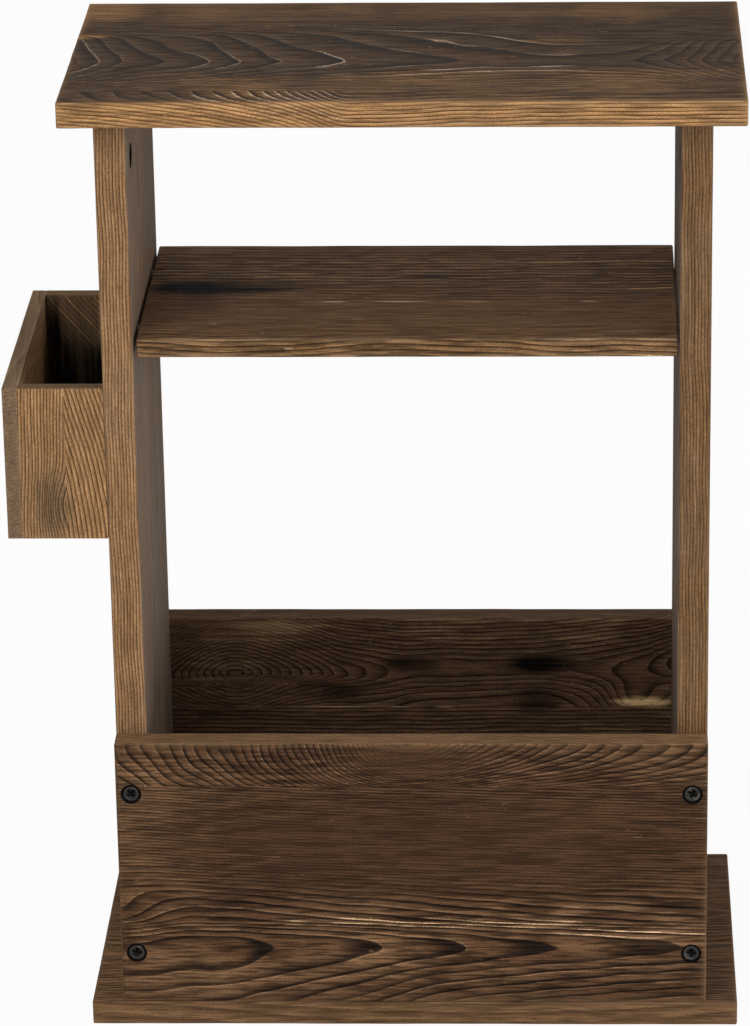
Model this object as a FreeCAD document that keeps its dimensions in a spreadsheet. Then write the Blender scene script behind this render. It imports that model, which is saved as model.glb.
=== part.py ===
import FreeCAD, Part
import math
import os
import re

import Sketcher

# A narrow side table of solid softwood boards: two uprights between a base and a tabletop,
# a thin shelf between them, a magazine rack above the base and a caddy on the left upright.
# Lengths are in millimetres. X runs to the right, Y to the back and Z up, and the origin is
# the centre of the base's underside. The rack's front panel faces -Y, the caddy faces -X.

SIZES = {
    # tabletop and base
    "board_length": 410,
    "top_thick": 16,
    "base_thick": 16,
    "side_overhang": 20,
    # uprights
    "upright_thick": 19,
    "upright_depth": 185,
    "upright_height": 579,
    # shelf: its drop is from the tabletop's underside to its own upper face
    "shelf_thick": 12,
    "shelf_drop": 140,
    "shelf_gap": 1.7,
    "shelf_setback": 5,
    # rack panels
    "panel_thick": 17,
    "panel_height": 179.5,
    # caddy: its drop is from the tabletop's underside to its rim
    "caddy_reach": 62,
    "caddy_height": 98.5,
    "caddy_drop": 170,
    "caddy_wall": 9,
    "caddy_floor_thick": 6,
    # chamfers that break the boards' edges
    "board_chamfer": 1.2,
    "caddy_chamfer": 0.8,
    # gap all round a fastener in its bore, and how far a through cut runs past the far face
    "fit_gap": 0.1,
    "overrun": 1,
    # countersunk screws
    "screw_head": 10,
    "screw_rim": 0.4,
    "screw_shank": 4.6,
    "screw_length": 45,
    "screw_tip": 6,
    "screw_sink": 0.9,
    "panel_screw_inset": 34.5,
    "base_screw_inset": 50,
    # cross recess for the driver
    "cross_span": 5.4,
    "cross_blade": 1.3,
    "cross_depth": 2,
    # cam locks: the inset is from the upright's edges, the drop from its top end
    "cam_dia": 15,
    "cam_height": 13.5,
    "cam_inset": 33,
    "cam_drop": 32,
    "cam_play": 0.4,
    "cam_room": 1.3,
    # bolts that the cams draw down
    "bolt_shaft": 6,
    "bolt_thread_length": 11,
    "bolt_collar": 7,
    "bolt_collar_thick": 1.5,
    "bolt_neck": 4,
    "bolt_neck_length": 8,
    "bolt_head": 7,
    "bolt_head_thick": 2.6,
    # dowels: the grip is the length inside the upright
    "dowel_chamfer": 0.7,
    "dowel_grip": 8,
    "shelf_dowel_dia": 6,
    "shelf_dowel_length": 24,
    "shelf_dowel_inset": 40,
    "caddy_dowel_dia": 5,
    "caddy_dowel_length": 20,
    "caddy_dowel_inset": 24,
    # brads in the caddy's outer panel
    "pin_dia": 1.6,
    "pin_length": 22,
    "pin_chamfer": 0.3,
    "wall_pin_inset": 14,
    "floor_pin_inset": 50,
}

# Sizes that follow from those above; a level is a height above the floor.
DERIVED = {
    "board_depth": "upright_depth + 2 * panel_thick",
    "frame_width": "board_length - 2 * side_overhang",
    "inner_width": "frame_width - 2 * upright_thick",
    "upright_middle": "(frame_width - upright_thick) / 2",
    "panel_middle": "(upright_depth + panel_thick) / 2",
    "top_level": "base_thick + upright_height",
    "shelf_length": "inner_width - 2 * shelf_gap",
    "shelf_depth": "upright_depth - shelf_setback",
    "shelf_level": "top_level - shelf_drop - shelf_thick",
    "caddy_level": "top_level - caddy_drop - caddy_height",
    "caddy_span": "caddy_reach - caddy_wall",
    "caddy_middle": "(frame_width + caddy_span) / 2",
    "caddy_wall_middle": "(upright_depth - caddy_wall) / 2",
    "caddy_floor_depth": "upright_depth - 2 * caddy_wall",
    "caddy_outer_middle": "(frame_width + caddy_wall) / 2 + caddy_span",
    "screw_bore": "screw_shank + 2 * fit_gap",
    "screw_mouth": "screw_head + 2 * (screw_sink + screw_rim + fit_gap)",
    "screw_cone": "screw_rim + (screw_head - screw_shank) / 2",
    "panel_screw_span": "panel_height - 2 * panel_screw_inset",
    "panel_screw_reach": "screw_sink + screw_length + fit_gap - panel_thick",
    "panel_screw_level": "base_thick + panel_screw_inset",
    "panel_screw_face": "board_depth / 2 - screw_sink",
    "base_screw_span": "upright_depth - 2 * base_screw_inset",
    "base_screw_reach": "screw_sink + screw_length + fit_gap - base_thick",
    "cam_bore": "cam_dia + 2 * fit_gap",
    "cam_bore_depth": "cam_height + fit_gap",
    "cam_span": "upright_depth - 2 * cam_inset",
    "cam_chamber": "bolt_head + 2 * cam_room",
    "cam_cap": "(upright_thick - bolt_head) / 2 - cam_play",
    "cam_slot": "bolt_neck + 2 * cam_play",
    "cam_entry": "bolt_head + 2 * cam_play",
    "cam_seat": "sqrt(cam_chamber ^ 2 - bolt_head ^ 2 + cam_slot ^ 2) / 2 - fit_gap",
    "bolt_reach": "cam_drop - cam_seat",
    "bolt_end": "bolt_reach + bolt_head_thick",
    "bolt_bore": "bolt_head + 2 * fit_gap",
    "bolt_thread_bore": "bolt_shaft + 2 * fit_gap",
    "bolt_thread_depth": "bolt_thread_length + fit_gap",
    "shelf_dowel_bore": "shelf_dowel_dia + 2 * fit_gap",
    "shelf_dowel_span": "upright_depth - 2 * shelf_dowel_inset",
    "shelf_dowel_depth": "shelf_dowel_length - dowel_grip - shelf_gap + fit_gap",
    "shelf_dowel_start": "inner_width / 2 + dowel_grip",
    "shelf_dowel_level": "shelf_level + shelf_thick / 2",
    "caddy_dowel_bore": "caddy_dowel_dia + 2 * fit_gap",
    "caddy_dowel_span": "caddy_height - 2 * caddy_dowel_inset",
    "caddy_dowel_depth": "caddy_dowel_length - dowel_grip + fit_gap",
    "caddy_dowel_start": "frame_width / 2 + caddy_dowel_length - dowel_grip",
    "grip_bore_depth": "dowel_grip + fit_gap",
    "pin_bore": "pin_dia + 2 * fit_gap",
    "pin_depth": "pin_length - caddy_wall + fit_gap",
    "pin_start": "frame_width / 2 + caddy_reach",
    "wall_pin_span": "caddy_height - 2 * wall_pin_inset",
    "floor_pin_span": "upright_depth - 2 * floor_pin_inset",
}

SHEET = "Sizes"
UNIT = 1.0
FULL_TURN = 360
HALF_TURN = 180
RIGHT_ANGLE = 90
X_DIRECTION = FreeCAD.Vector(1, 0, 0)
Z_DIRECTION = FreeCAD.Vector(0, 0, 1)

# Numbers by which a sketch names its own axes, and the points of a line or a circle
HORIZONTAL_AXIS, VERTICAL_AXIS = range(-1, -3, -1)
START, END, CENTRE = range(1, 4)

doc = FreeCAD.newDocument("MagazineTable")


def fill_sheet():
    """Writes the driving sizes and the formulas that follow from them into the sheet."""
    sheet = doc.addObject("Spreadsheet::Sheet", SHEET)
    rows = [(name, str(size)) for name, size in SIZES.items()]
    rows += [(name, "=" + formula) for name, formula in DERIVED.items()]
    for row, (name, text) in enumerate(rows, start=1):
        sheet.set(f"A{row}", name)
        sheet.set(f"B{row}", text)
        sheet.setAlias(f"B{row}", name)
    doc.recompute()


def bind(thing, path, formula):
    """Binds a property to a formula written in the sheet's names."""
    thing.setExpression(path, re.sub(r"[a-z_]+", SHEET + r".\g<0>", formula))


def both_ways(span):
    """Returns the places half a span to either side of the middle."""
    return [f"-{span} / 2", f"{span} / 2"]


def grid(columns, rows):
    """Returns every pair of a column's place and a row's place."""
    return [(column, row) for column in columns for row in rows]


def new_body(label, place, turn=FreeCAD.Rotation()):
    """Makes an empty body at a place given by three formulas."""
    body = doc.addObject("PartDesign::Body", label)
    body.Label = label
    body.Placement = FreeCAD.Placement(FreeCAD.Vector(), turn)
    for axis, formula in zip("xyz", place):
        bind(body, f"Placement.Base.{axis}", formula)
    return body


def origin_feature(body, role):
    """Finds one of a body's own origin planes or axes."""
    return next(feature for feature in body.Origin.OriginFeatures if feature.Role == role)


def new_sketch(body, name, plane, lift="0"):
    """Adds a sketch on an origin plane, lifted along that plane's normal."""
    sketch = body.newObject("Sketcher::SketchObject", name)
    sketch.AttachmentSupport = [(origin_feature(body, plane), "")]
    sketch.MapMode = "FlatFace"
    bind(sketch, "AttachmentOffset.Base.z", lift)
    return sketch


def dimension(sketch, kind, points, formula):
    """Adds a dimension to a sketch and binds it to a formula."""
    number = sketch.addConstraint(Sketcher.Constraint(kind, *points, UNIT))
    name = f"{kind}{number}"
    sketch.renameConstraint(number, name)
    bind(sketch, f"Constraints.{name}", formula)


def pin_point(sketch, line, end, x, y):
    """Fixes a point of a sketch at two formulas measured from its origin, where its axes start."""
    for kind, axis, formula in (("DistanceX", VERTICAL_AXIS, x), ("DistanceY", HORIZONTAL_AXIS, y)):
        if formula == "0":
            sketch.addConstraint(Sketcher.Constraint("PointOnObject", line, end, axis))
        else:
            dimension(sketch, kind, (HORIZONTAL_AXIS, START, line, end), formula)


def draw_polygon(sketch, corners):
    """Draws a closed outline through corners given as pairs of formulas."""
    count = len(corners)
    turns = [2 * math.pi * corner / count for corner in range(count)]
    points = [FreeCAD.Vector(math.cos(turn), math.sin(turn), 0) for turn in turns]
    for line in range(count):
        sketch.addGeometry(Part.LineSegment(points[line], points[(line + 1) % count]), False)
    for line, (x, y) in enumerate(corners):
        sketch.addConstraint(Sketcher.Constraint("Coincident", line, END, (line + 1) % count, START))
        pin_point(sketch, line, START, x, y)


def draw_rectangle(sketch, width, height):
    """Draws a rectangle centred on the sketch's origin."""
    left, right = both_ways(width)
    low, high = both_ways(height)
    draw_polygon(sketch, [(left, low), (right, low), (right, high), (left, high)])


def draw_circles(sketch, diameter, places):
    """Draws equal circles at places given as pairs of formulas."""
    for x, y in places:
        start = Part.Circle(FreeCAD.Vector(UNIT, UNIT, 0), Z_DIRECTION, UNIT)
        circle = sketch.addGeometry(start, False)
        pin_point(sketch, circle, CENTRE, x, y)
        dimension(sketch, "Diameter", (circle,), diameter)


def draw_cross(sketch):
    """Draws the outline of a driver's cross."""
    arm_out, blade_out = "cross_span / 2", "cross_blade / 2"
    arm_in, blade_in = "-" + arm_out, "-" + blade_out
    draw_polygon(sketch, [
        (blade_out, blade_out), (blade_out, arm_out), (blade_in, arm_out), (blade_in, blade_out),
        (arm_in, blade_out), (arm_in, blade_in), (blade_in, blade_in), (blade_in, arm_in),
        (blade_out, arm_in), (blade_out, blade_in), (arm_out, blade_in), (arm_out, blade_out),
    ])


def settle(body, feature):
    """Makes a feature the body's last one and works it out."""
    body.Tip = feature
    doc.recompute()
    return feature


def settle_cut(body, feature):
    """Settles a feature that removes material, and stops if it missed the solid."""
    before = body.Shape.Volume
    settle(body, feature)
    if feature.Shape.Volume >= before:
        raise ValueError(f"{feature.Label} of {body.Label} removes nothing")
    return feature


def pad(body, sketch, length, reverse=False):
    """Raises a sketch into a solid."""
    feature = body.newObject("PartDesign::Pad", "Pad")
    feature.Profile = sketch
    feature.Reversed = reverse
    bind(feature, "Length", length)
    return settle(body, feature)


def pocket(body, sketch, depth, reverse=False):
    """Cuts a sketch into a solid, against the sketch's normal unless reversed."""
    feature = body.newObject("PartDesign::Pocket", "Pocket")
    feature.Profile = sketch
    feature.Reversed = reverse
    bind(feature, "Length", depth)
    return settle_cut(body, feature)


def revolve(body, sketch, axis):
    """Turns a half profile round one of its sketch's axes."""
    feature = body.newObject("PartDesign::Revolution", "Revolution")
    feature.Profile = sketch
    feature.ReferenceAxis = (sketch, [axis])
    feature.Angle = FULL_TURN
    return settle(body, feature)


def drill(body, name, plane, lift, diameter, places, depth, reverse=False):
    """Drills flat-bottomed bores from a lifted plane."""
    sketch = new_sketch(body, name, plane, lift)
    draw_circles(sketch, diameter, places)
    return pocket(body, sketch, depth, reverse)


def drill_sunk(body, name, plane, lift, places, reverse=False):
    """Drills screw holes right through, with a cone at the mouth for a sunk head."""
    sketch = new_sketch(body, name, plane, lift)
    draw_circles(sketch, "screw_bore", places)
    doc.recompute()
    hole = body.newObject("PartDesign::Hole", "Hole")
    hole.Profile = sketch
    hole.ThreadType = "None"
    hole.DepthType = "ThroughAll"
    hole.HoleCutType = "Countersink"
    hole.HoleCutCustomValues = True
    hole.HoleCutCountersinkAngle = RIGHT_ANGLE
    hole.Reversed = reverse
    bind(hole, "Diameter", "screw_bore")
    bind(hole, "HoleCutDiameter", "screw_mouth")
    return settle_cut(body, hole)


def mirror(body, feature, plane):
    """Repeats a cut on the other side of an origin plane."""
    copy = body.newObject("PartDesign::Mirrored", "Mirrored")
    copy.Originals = [feature]
    copy.MirrorPlane = (origin_feature(body, plane), [""])
    return settle_cut(body, copy)


def repeat(body, features, axis, count, span, second_axis, second_count, second_span):
    """Repeats features along two of the body's axes, each over a span from the first one."""
    pattern = body.newObject("PartDesign::LinearPattern", "LinearPattern")
    pattern.Originals = features
    pattern.Direction = (origin_feature(body, axis), [""])
    pattern.Occurrences = count
    bind(pattern, "Length", span)
    pattern.Direction2 = (origin_feature(body, second_axis), [""])
    pattern.Occurrences2 = second_count
    bind(pattern, "Length2", second_span)
    return settle(body, pattern)


def make_board(label, across, along, up, chamfer, place, turn=FreeCAD.Rotation()):
    """Makes a board with broken edges that stands on its origin."""
    body = new_body(label, place, turn)
    outline = new_sketch(body, "Outline", "XY_Plane")
    draw_rectangle(outline, across, along)
    blank = pad(body, outline, up)
    broken = body.newObject("PartDesign::Chamfer", "BrokenEdges")
    broken.Base = (blank, [f"Edge{number + 1}" for number in range(len(blank.Shape.Edges))])
    bind(broken, "Size", chamfer)
    settle_cut(body, broken)
    return body


def make_tabletop():
    """The tabletop, with blind holes below for the cam bolts."""
    body = make_board("tabletop", "board_length", "board_depth", "top_thick", "board_chamfer",
                      ("0", "0", "top_level"))
    places = grid(["-upright_middle", "upright_middle"], both_ways("cam_span"))
    drill(body, "BoltHoles", "XY_Plane", "0", "bolt_thread_bore", places, "bolt_thread_depth", reverse=True)
    return body


def make_base():
    """The base, with sunk screw holes from below."""
    body = make_board("base_board", "board_length", "board_depth", "base_thick", "board_chamfer",
                      ("0", "0", "0"))
    places = grid(["-upright_middle", "upright_middle"], both_ways("base_screw_span"))
    drill_sunk(body, "ScrewHoles", "XY_Plane", "0", places, reverse=True)
    return body


def make_upright(label, middle, turn):
    """An upright, whose inner face is on its own +X side, with every bore but the caddy's."""
    body = make_board(label, "upright_thick", "upright_depth", "upright_height", "board_chamfer",
                      (middle, "0", "base_thick"), turn)
    drill(body, "BaseScrewPilots", "XY_Plane", "0", "screw_bore",
          grid(["0"], both_ways("base_screw_span")), "base_screw_reach", reverse=True)
    low, high = "panel_screw_inset", "panel_height - panel_screw_inset"
    pilots = drill(body, "PanelScrewPilots", "XZ_Plane", "upright_depth / 2", "screw_bore",
                   grid(["0"], [low, high]), "panel_screw_reach")
    mirror(body, pilots, "XZ_Plane")
    drill(body, "DowelBores", "YZ_Plane", "upright_thick / 2", "shelf_dowel_bore",
          grid(both_ways("shelf_dowel_span"), ["shelf_dowel_level - base_thick"]), "grip_bore_depth")
    drill(body, "CamBores", "YZ_Plane", "upright_thick / 2", "cam_bore",
          grid(both_ways("cam_span"), ["upright_height - cam_drop"]), "cam_bore_depth")
    drill(body, "BoltBores", "XY_Plane", "upright_height", "bolt_bore",
          grid(["0"], both_ways("cam_span")), "cam_drop")
    return body


def make_left_upright():
    """The left upright, which also carries the caddy's dowels in its outer face."""
    body = make_upright("left_upright", "-upright_middle", FreeCAD.Rotation())
    middle = "caddy_level - base_thick + caddy_height / 2"
    heights = [f"{middle} + {place}" for place in both_ways("caddy_dowel_span")]
    places = grid(["-caddy_wall_middle", "caddy_wall_middle"], heights)
    drill(body, "CaddyDowelBores", "YZ_Plane", "-upright_thick / 2", "caddy_dowel_bore", places,
          "grip_bore_depth", reverse=True)
    return body


def make_shelf():
    """The shelf, short of the uprights by a gap at each end and set back at the front."""
    body = make_board("middle_shelf", "shelf_length", "shelf_depth", "shelf_thick", "board_chamfer",
                      ("0", "shelf_setback / 2", "shelf_level"))
    columns = [f"{place} - shelf_setback / 2" for place in both_ways("shelf_dowel_span")]
    bores = drill(body, "DowelBores", "YZ_Plane", "shelf_length / 2", "shelf_dowel_bore",
                  grid(columns, ["shelf_thick / 2"]), "shelf_dowel_depth")
    mirror(body, bores, "YZ_Plane")
    return body


def make_rack_panel(label, middle, turn):
    """A rack panel with four sunk screw holes in its outer face."""
    body = make_board(label, "frame_width", "panel_thick", "panel_height", "board_chamfer",
                      ("0", middle, "base_thick"), turn)
    places = grid(["-upright_middle", "upright_middle"],
                  ["panel_screw_inset", "panel_height - panel_screw_inset"])
    drill_sunk(body, "ScrewHoles", "XZ_Plane", "panel_thick / 2", places)
    return body


def wall_pin_heights():
    """Returns the heights of the brads in a caddy wall: near both ends and in the middle."""
    middle = "caddy_height / 2"
    return [middle] + [f"{middle} + {place}" for place in both_ways("wall_pin_span")]


def make_caddy_outer():
    """The caddy's outer panel, which laps the ends of the other walls and of the floor."""
    body = make_board("caddy_outer_panel", "caddy_wall", "upright_depth", "caddy_height", "caddy_chamfer",
                      ("-caddy_outer_middle", "0", "caddy_level"))
    places = grid(["-caddy_wall_middle", "caddy_wall_middle"], wall_pin_heights())
    places += grid(both_ways("floor_pin_span"), ["caddy_floor_thick / 2"])
    drill(body, "PinHoles", "YZ_Plane", "-caddy_wall / 2", "pin_bore", places, "caddy_wall + overrun",
          reverse=True)
    return body


def make_caddy_wall(label, middle):
    """A caddy wall: dowelled to the upright at one end, pinned by the outer panel at the other."""
    body = make_board(label, "caddy_span", "caddy_wall", "caddy_height", "caddy_chamfer",
                      ("-caddy_middle", middle, "caddy_level"))
    heights = [f"caddy_height / 2 + {place}" for place in both_ways("caddy_dowel_span")]
    drill(body, "DowelBores", "YZ_Plane", "caddy_span / 2", "caddy_dowel_bore", grid(["0"], heights),
          "caddy_dowel_depth")
    drill(body, "PinBores", "YZ_Plane", "-caddy_span / 2", "pin_bore", grid(["0"], wall_pin_heights()),
          "pin_depth", reverse=True)
    return body


def make_caddy_floor():
    """The caddy's floor, held between its walls, the outer panel and the upright."""
    body = make_board("caddy_floor", "caddy_span", "caddy_floor_depth", "caddy_floor_thick",
                      "caddy_chamfer", ("-caddy_middle", "0", "caddy_level"))
    drill(body, "PinBores", "YZ_Plane", "-caddy_span / 2", "pin_bore",
          grid(both_ways("floor_pin_span"), ["caddy_floor_thick / 2"]), "pin_depth", reverse=True)
    return body


def make_screws(label, place, turn, span_up):
    """Four countersunk screws that point along +Y, in a rectangle from the first one."""
    body = new_body(label, place, turn)
    profile = new_sketch(body, "Profile", "XY_Plane")
    draw_polygon(profile, [
        ("0", "0"), ("screw_head / 2", "0"), ("screw_head / 2", "screw_rim"),
        ("screw_shank / 2", "screw_cone"), ("screw_shank / 2", "screw_length - screw_tip"),
        ("0", "screw_length"),
    ])
    screw = revolve(body, profile, "V_Axis")
    cross = new_sketch(body, "Cross", "XZ_Plane")
    draw_cross(cross)
    recess = pocket(body, cross, "cross_depth")
    repeat(body, [screw, recess], "X_Axis", 2, "2 * upright_middle", "Z_Axis", 2, span_up)
    return body


def make_cams(label, place, turn):
    """Two cam locks whose faces lie on their own YZ plane, turned home on their bolts."""
    body = new_body(label, place, turn)
    outline = new_sketch(body, "Outline", "YZ_Plane")
    draw_circles(outline, "cam_dia", [("0", "0")])
    cam = pad(body, outline, "cam_height", reverse=True)
    chamber = drill(body, "Chamber", "YZ_Plane", "-cam_height", "cam_chamber", [("0", "0")],
                    "cam_height - cam_cap", reverse=True)
    mouth = new_sketch(body, "Entry", "YZ_Plane", "-cam_height")
    draw_polygon(mouth, [
        ("-cam_entry / 2", "0"), ("-cam_entry / 2", "-cam_dia / 2 - overrun"),
        ("cam_entry / 2", "-cam_dia / 2 - overrun"), ("cam_entry / 2", "0"),
    ])
    entry = pocket(body, mouth, "cam_height - cam_cap", reverse=True)
    slot = new_sketch(body, "NeckSlot", "XZ_Plane")
    near, far = [f"-upright_thick / 2 + {place}" for place in both_ways("cam_slot")]
    draw_polygon(slot, [
        (near, "cam_chamber / 4"), (far, "cam_chamber / 4"),
        (far, "cam_dia / 2 + overrun"), (near, "cam_dia / 2 + overrun"),
    ])
    groove = body.newObject("PartDesign::Groove", "Groove")
    groove.Profile = slot
    groove.ReferenceAxis = (slot, ["H_Axis"])
    groove.Angle = HALF_TURN
    groove.Midplane = True
    settle_cut(body, groove)
    cross = new_sketch(body, "Cross", "YZ_Plane")
    draw_cross(cross)
    recess = pocket(body, cross, "cross_depth")
    repeat(body, [cam, chamber, entry, groove, recess], "Y_Axis", 2, "cam_span", "Z_Axis", 1, "cam_dia")
    return body


def make_bolts(label, middle):
    """Two bolts that hang from the tabletop's underside, with their heads in the cams."""
    body = new_body(label, (middle, "-cam_span / 2", "top_level"))
    profile = new_sketch(body, "Profile", "XZ_Plane")
    draw_polygon(profile, [
        ("0", "bolt_thread_length"), ("bolt_shaft / 2", "bolt_thread_length"), ("bolt_shaft / 2", "0"),
        ("bolt_collar / 2", "0"), ("bolt_collar / 2", "-bolt_collar_thick"),
        ("bolt_shaft / 2", "-bolt_collar_thick"), ("bolt_shaft / 2", "bolt_neck_length - bolt_reach"),
        ("bolt_neck / 2", "bolt_neck_length - bolt_reach"), ("bolt_neck / 2", "-bolt_reach"),
        ("bolt_head / 2", "-bolt_reach"), ("bolt_head / 2", "-bolt_end"), ("0", "-bolt_end"),
    ])
    bolt = revolve(body, profile, "V_Axis")
    repeat(body, [bolt], "Y_Axis", 2, "cam_span", "Z_Axis", 1, "cam_dia")
    return body


def make_pegs(label, place, diameter, length, chamfer, span_back, count_up, span_up):
    """Rows of round pegs along +X, chamfered at both ends, at the front and the back."""
    body = new_body(label, place)
    profile = new_sketch(body, "Profile", "XY_Plane")
    radius = f"{diameter} / 2"
    draw_polygon(profile, [
        ("0", "0"), (length, "0"), (length, f"{radius} - {chamfer}"), (f"{length} - {chamfer}", radius),
        (chamfer, radius), ("0", f"{radius} - {chamfer}"),
    ])
    peg = revolve(body, profile, "H_Axis")
    repeat(body, [peg], "Y_Axis", 2, span_back, "Z_Axis", count_up, span_up)
    return body


def make_all():
    """Makes every sub-part and returns their bodies."""
    as_made = FreeCAD.Rotation()
    about = FreeCAD.Rotation(Z_DIRECTION, HALF_TURN)
    upward = FreeCAD.Rotation(X_DIRECTION, RIGHT_ANGLE)
    shelf_dowels = ("shelf_dowel_dia", "shelf_dowel_length", "dowel_chamfer", "shelf_dowel_span", 1,
                    "shelf_dowel_dia")
    return [
        make_tabletop(),
        make_base(),
        make_left_upright(),
        make_upright("right_upright", "upright_middle", about),
        make_shelf(),
        make_rack_panel("rack_front_panel", "-panel_middle", as_made),
        make_rack_panel("rack_back_panel", "panel_middle", about),
        make_caddy_outer(),
        make_caddy_wall("caddy_front_panel", "-caddy_wall_middle"),
        make_caddy_wall("caddy_back_panel", "caddy_wall_middle"),
        make_caddy_floor(),
        make_screws("rack_front_screws", ("-upright_middle", "-panel_screw_face", "panel_screw_level"),
                    as_made, "panel_screw_span"),
        make_screws("rack_back_screws", ("upright_middle", "panel_screw_face", "panel_screw_level"),
                    about, "panel_screw_span"),
        make_screws("base_screws", ("-upright_middle", "base_screw_span / 2", "screw_sink"),
                    upward, "base_screw_span"),
        make_cams("left_cam_locks", ("-inner_width / 2", "-cam_span / 2", "top_level - cam_drop"), as_made),
        make_cams("right_cam_locks", ("inner_width / 2", "cam_span / 2", "top_level - cam_drop"), about),
        make_bolts("left_cam_bolts", "-upright_middle"),
        make_bolts("right_cam_bolts", "upright_middle"),
        make_pegs("left_shelf_dowels", ("-shelf_dowel_start", "-shelf_dowel_span / 2", "shelf_dowel_level"),
                  *shelf_dowels),
        make_pegs("right_shelf_dowels",
                  ("shelf_dowel_start - shelf_dowel_length", "-shelf_dowel_span / 2", "shelf_dowel_level"),
                  *shelf_dowels),
        make_pegs("caddy_dowels",
                  ("-caddy_dowel_start", "-caddy_wall_middle", "caddy_level + caddy_dowel_inset"),
                  "caddy_dowel_dia", "caddy_dowel_length", "dowel_chamfer", "2 * caddy_wall_middle", 2,
                  "caddy_dowel_span"),
        make_pegs("caddy_wall_pins", ("-pin_start", "-caddy_wall_middle", "caddy_level + wall_pin_inset"),
                  "pin_dia", "pin_length", "pin_chamfer", "2 * caddy_wall_middle", 3, "wall_pin_span"),
        make_pegs("caddy_floor_pins",
                  ("-pin_start", "-floor_pin_span / 2", "caddy_level + caddy_floor_thick / 2"),
                  "pin_dia", "pin_length", "pin_chamfer", "floor_pin_span", 1, "pin_dia"),
    ]


def check_all(bodies):
    """Stops if any object failed or any sub-part has no sound shape."""
    for thing in doc.Objects:
        if {"Invalid", "Error"} & set(thing.State):
            raise ValueError(f"{thing.Label} failed: {thing.State}")
    for body in bodies:
        if body.Shape.isNull() or not body.Shape.isValid():
            raise ValueError(f"{body.Label} has no sound shape")


def write_all(bodies):
    """Writes each sub-part to a file named after its label."""
    os.makedirs("parts", exist_ok=True)
    for body in bodies:
        body.Shape.exportStep(os.path.join("parts", body.Label + ".step"))
        box = body.Shape.BoundBox
        print(f"{body.Label}: {len(body.Shape.Solids)} solids, "
              f"{box.XLength:.1f} x {box.YLength:.1f} x {box.ZLength:.1f} mm")


fill_sheet()
sub_parts = make_all()
check_all(sub_parts)
write_all(sub_parts)
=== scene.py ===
"""A narrow magazine table of torched and brushed softwood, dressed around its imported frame.

The frame is in metres. Sizes in this script are in millimetres unless a docstring says otherwise,
and the figure in a board's wood is measured from the middle of that board.
"""

import logging
from abc import ABC, abstractmethod
from dataclasses import dataclass, field, replace
from enum import Enum

import bpy
import numpy as np
from numpy.typing import NDArray
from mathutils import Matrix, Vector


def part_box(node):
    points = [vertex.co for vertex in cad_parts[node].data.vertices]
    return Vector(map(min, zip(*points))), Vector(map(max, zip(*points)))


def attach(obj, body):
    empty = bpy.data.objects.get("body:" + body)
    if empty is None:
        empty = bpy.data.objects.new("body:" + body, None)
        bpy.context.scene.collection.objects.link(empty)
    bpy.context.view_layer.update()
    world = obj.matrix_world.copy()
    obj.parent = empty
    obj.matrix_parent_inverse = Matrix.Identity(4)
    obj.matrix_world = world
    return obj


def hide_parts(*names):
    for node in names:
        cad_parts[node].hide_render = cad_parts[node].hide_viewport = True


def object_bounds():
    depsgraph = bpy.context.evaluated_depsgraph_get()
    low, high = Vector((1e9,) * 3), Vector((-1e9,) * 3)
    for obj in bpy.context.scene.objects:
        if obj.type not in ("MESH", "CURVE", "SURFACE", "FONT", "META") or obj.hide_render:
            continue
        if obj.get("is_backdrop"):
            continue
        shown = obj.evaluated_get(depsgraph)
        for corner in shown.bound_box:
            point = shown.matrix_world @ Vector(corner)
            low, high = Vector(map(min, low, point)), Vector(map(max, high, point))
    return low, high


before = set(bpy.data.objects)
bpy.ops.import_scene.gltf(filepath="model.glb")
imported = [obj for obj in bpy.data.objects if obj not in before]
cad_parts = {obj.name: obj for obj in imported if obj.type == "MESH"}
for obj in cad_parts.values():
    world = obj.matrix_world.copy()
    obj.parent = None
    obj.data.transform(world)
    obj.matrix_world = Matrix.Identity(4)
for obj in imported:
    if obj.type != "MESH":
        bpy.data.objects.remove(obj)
log = logging.getLogger("magazine_table")

MM = 0.001
BODY = "root"
Array = NDArray[np.float64]
Index = NDArray[np.int64]
Socket = bpy.types.NodeSocket
Material = bpy.types.Material

# The masks and tones that the shader groups hand on to each other.
RING_MASKS = ("Late", "Pale", "Fresh")
BRUSH_MARKS = ("Streak", "Hair", "Grit", "Blotch", "Speck")
WOOD_TONES = ("Early", "Dark", "Smoke", "Soot", "Chalk", "Worn")

# How far from a pith rings are counted, over how many reads, and the step that their slope is read over.
FAR = 400.0
FAR_READS = 801
SLOPE_STEP = 0.2

# The grid lines on the turn of half an edge, and beside a glue line.
ARC = np.radians([0.0, 15.0, 30.0, 45.0])
BESIDE_GLUE = (-1.3, -0.7, -0.01, 0.01, 0.7, 1.3)

# The relief: half the width of a glue line's groove, its depth, the part of a ring that stands proud,
# and the figure past which the relief gets no deeper.
GLUE_REACH = 0.1
GLUE_DEPTH = 0.12
PROUD = 0.85
MOST_FIGURE = 1.2

# The room that a fastener has in its bore, the scorch inside bores, which paints them black as the shade in a
# hole, and how far wear reaches from an edge.
CLEARANCE = 0.1
HOLE_SHADE = 2.4
WEAR_REACH = 1.6


@dataclass(frozen=True)
class Tint:
    """A colour as a screen shows it, each part from 0 to 255."""

    red: float
    green: float
    blue: float

    def linear(self) -> tuple[float, float, float, float]:
        """Turns the colour into light by the usual curve of a screen.

        Returns:
            Its red, green and blue light, each from 0 to 1, and full cover.
        """
        seen = np.array([self.red, self.green, self.blue]) / 255
        light = np.where(seen <= 0.04045, seen / 12.92, ((seen + 0.055) / 1.055) ** 2.4)
        return (*light.tolist(), 1.0)


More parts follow.
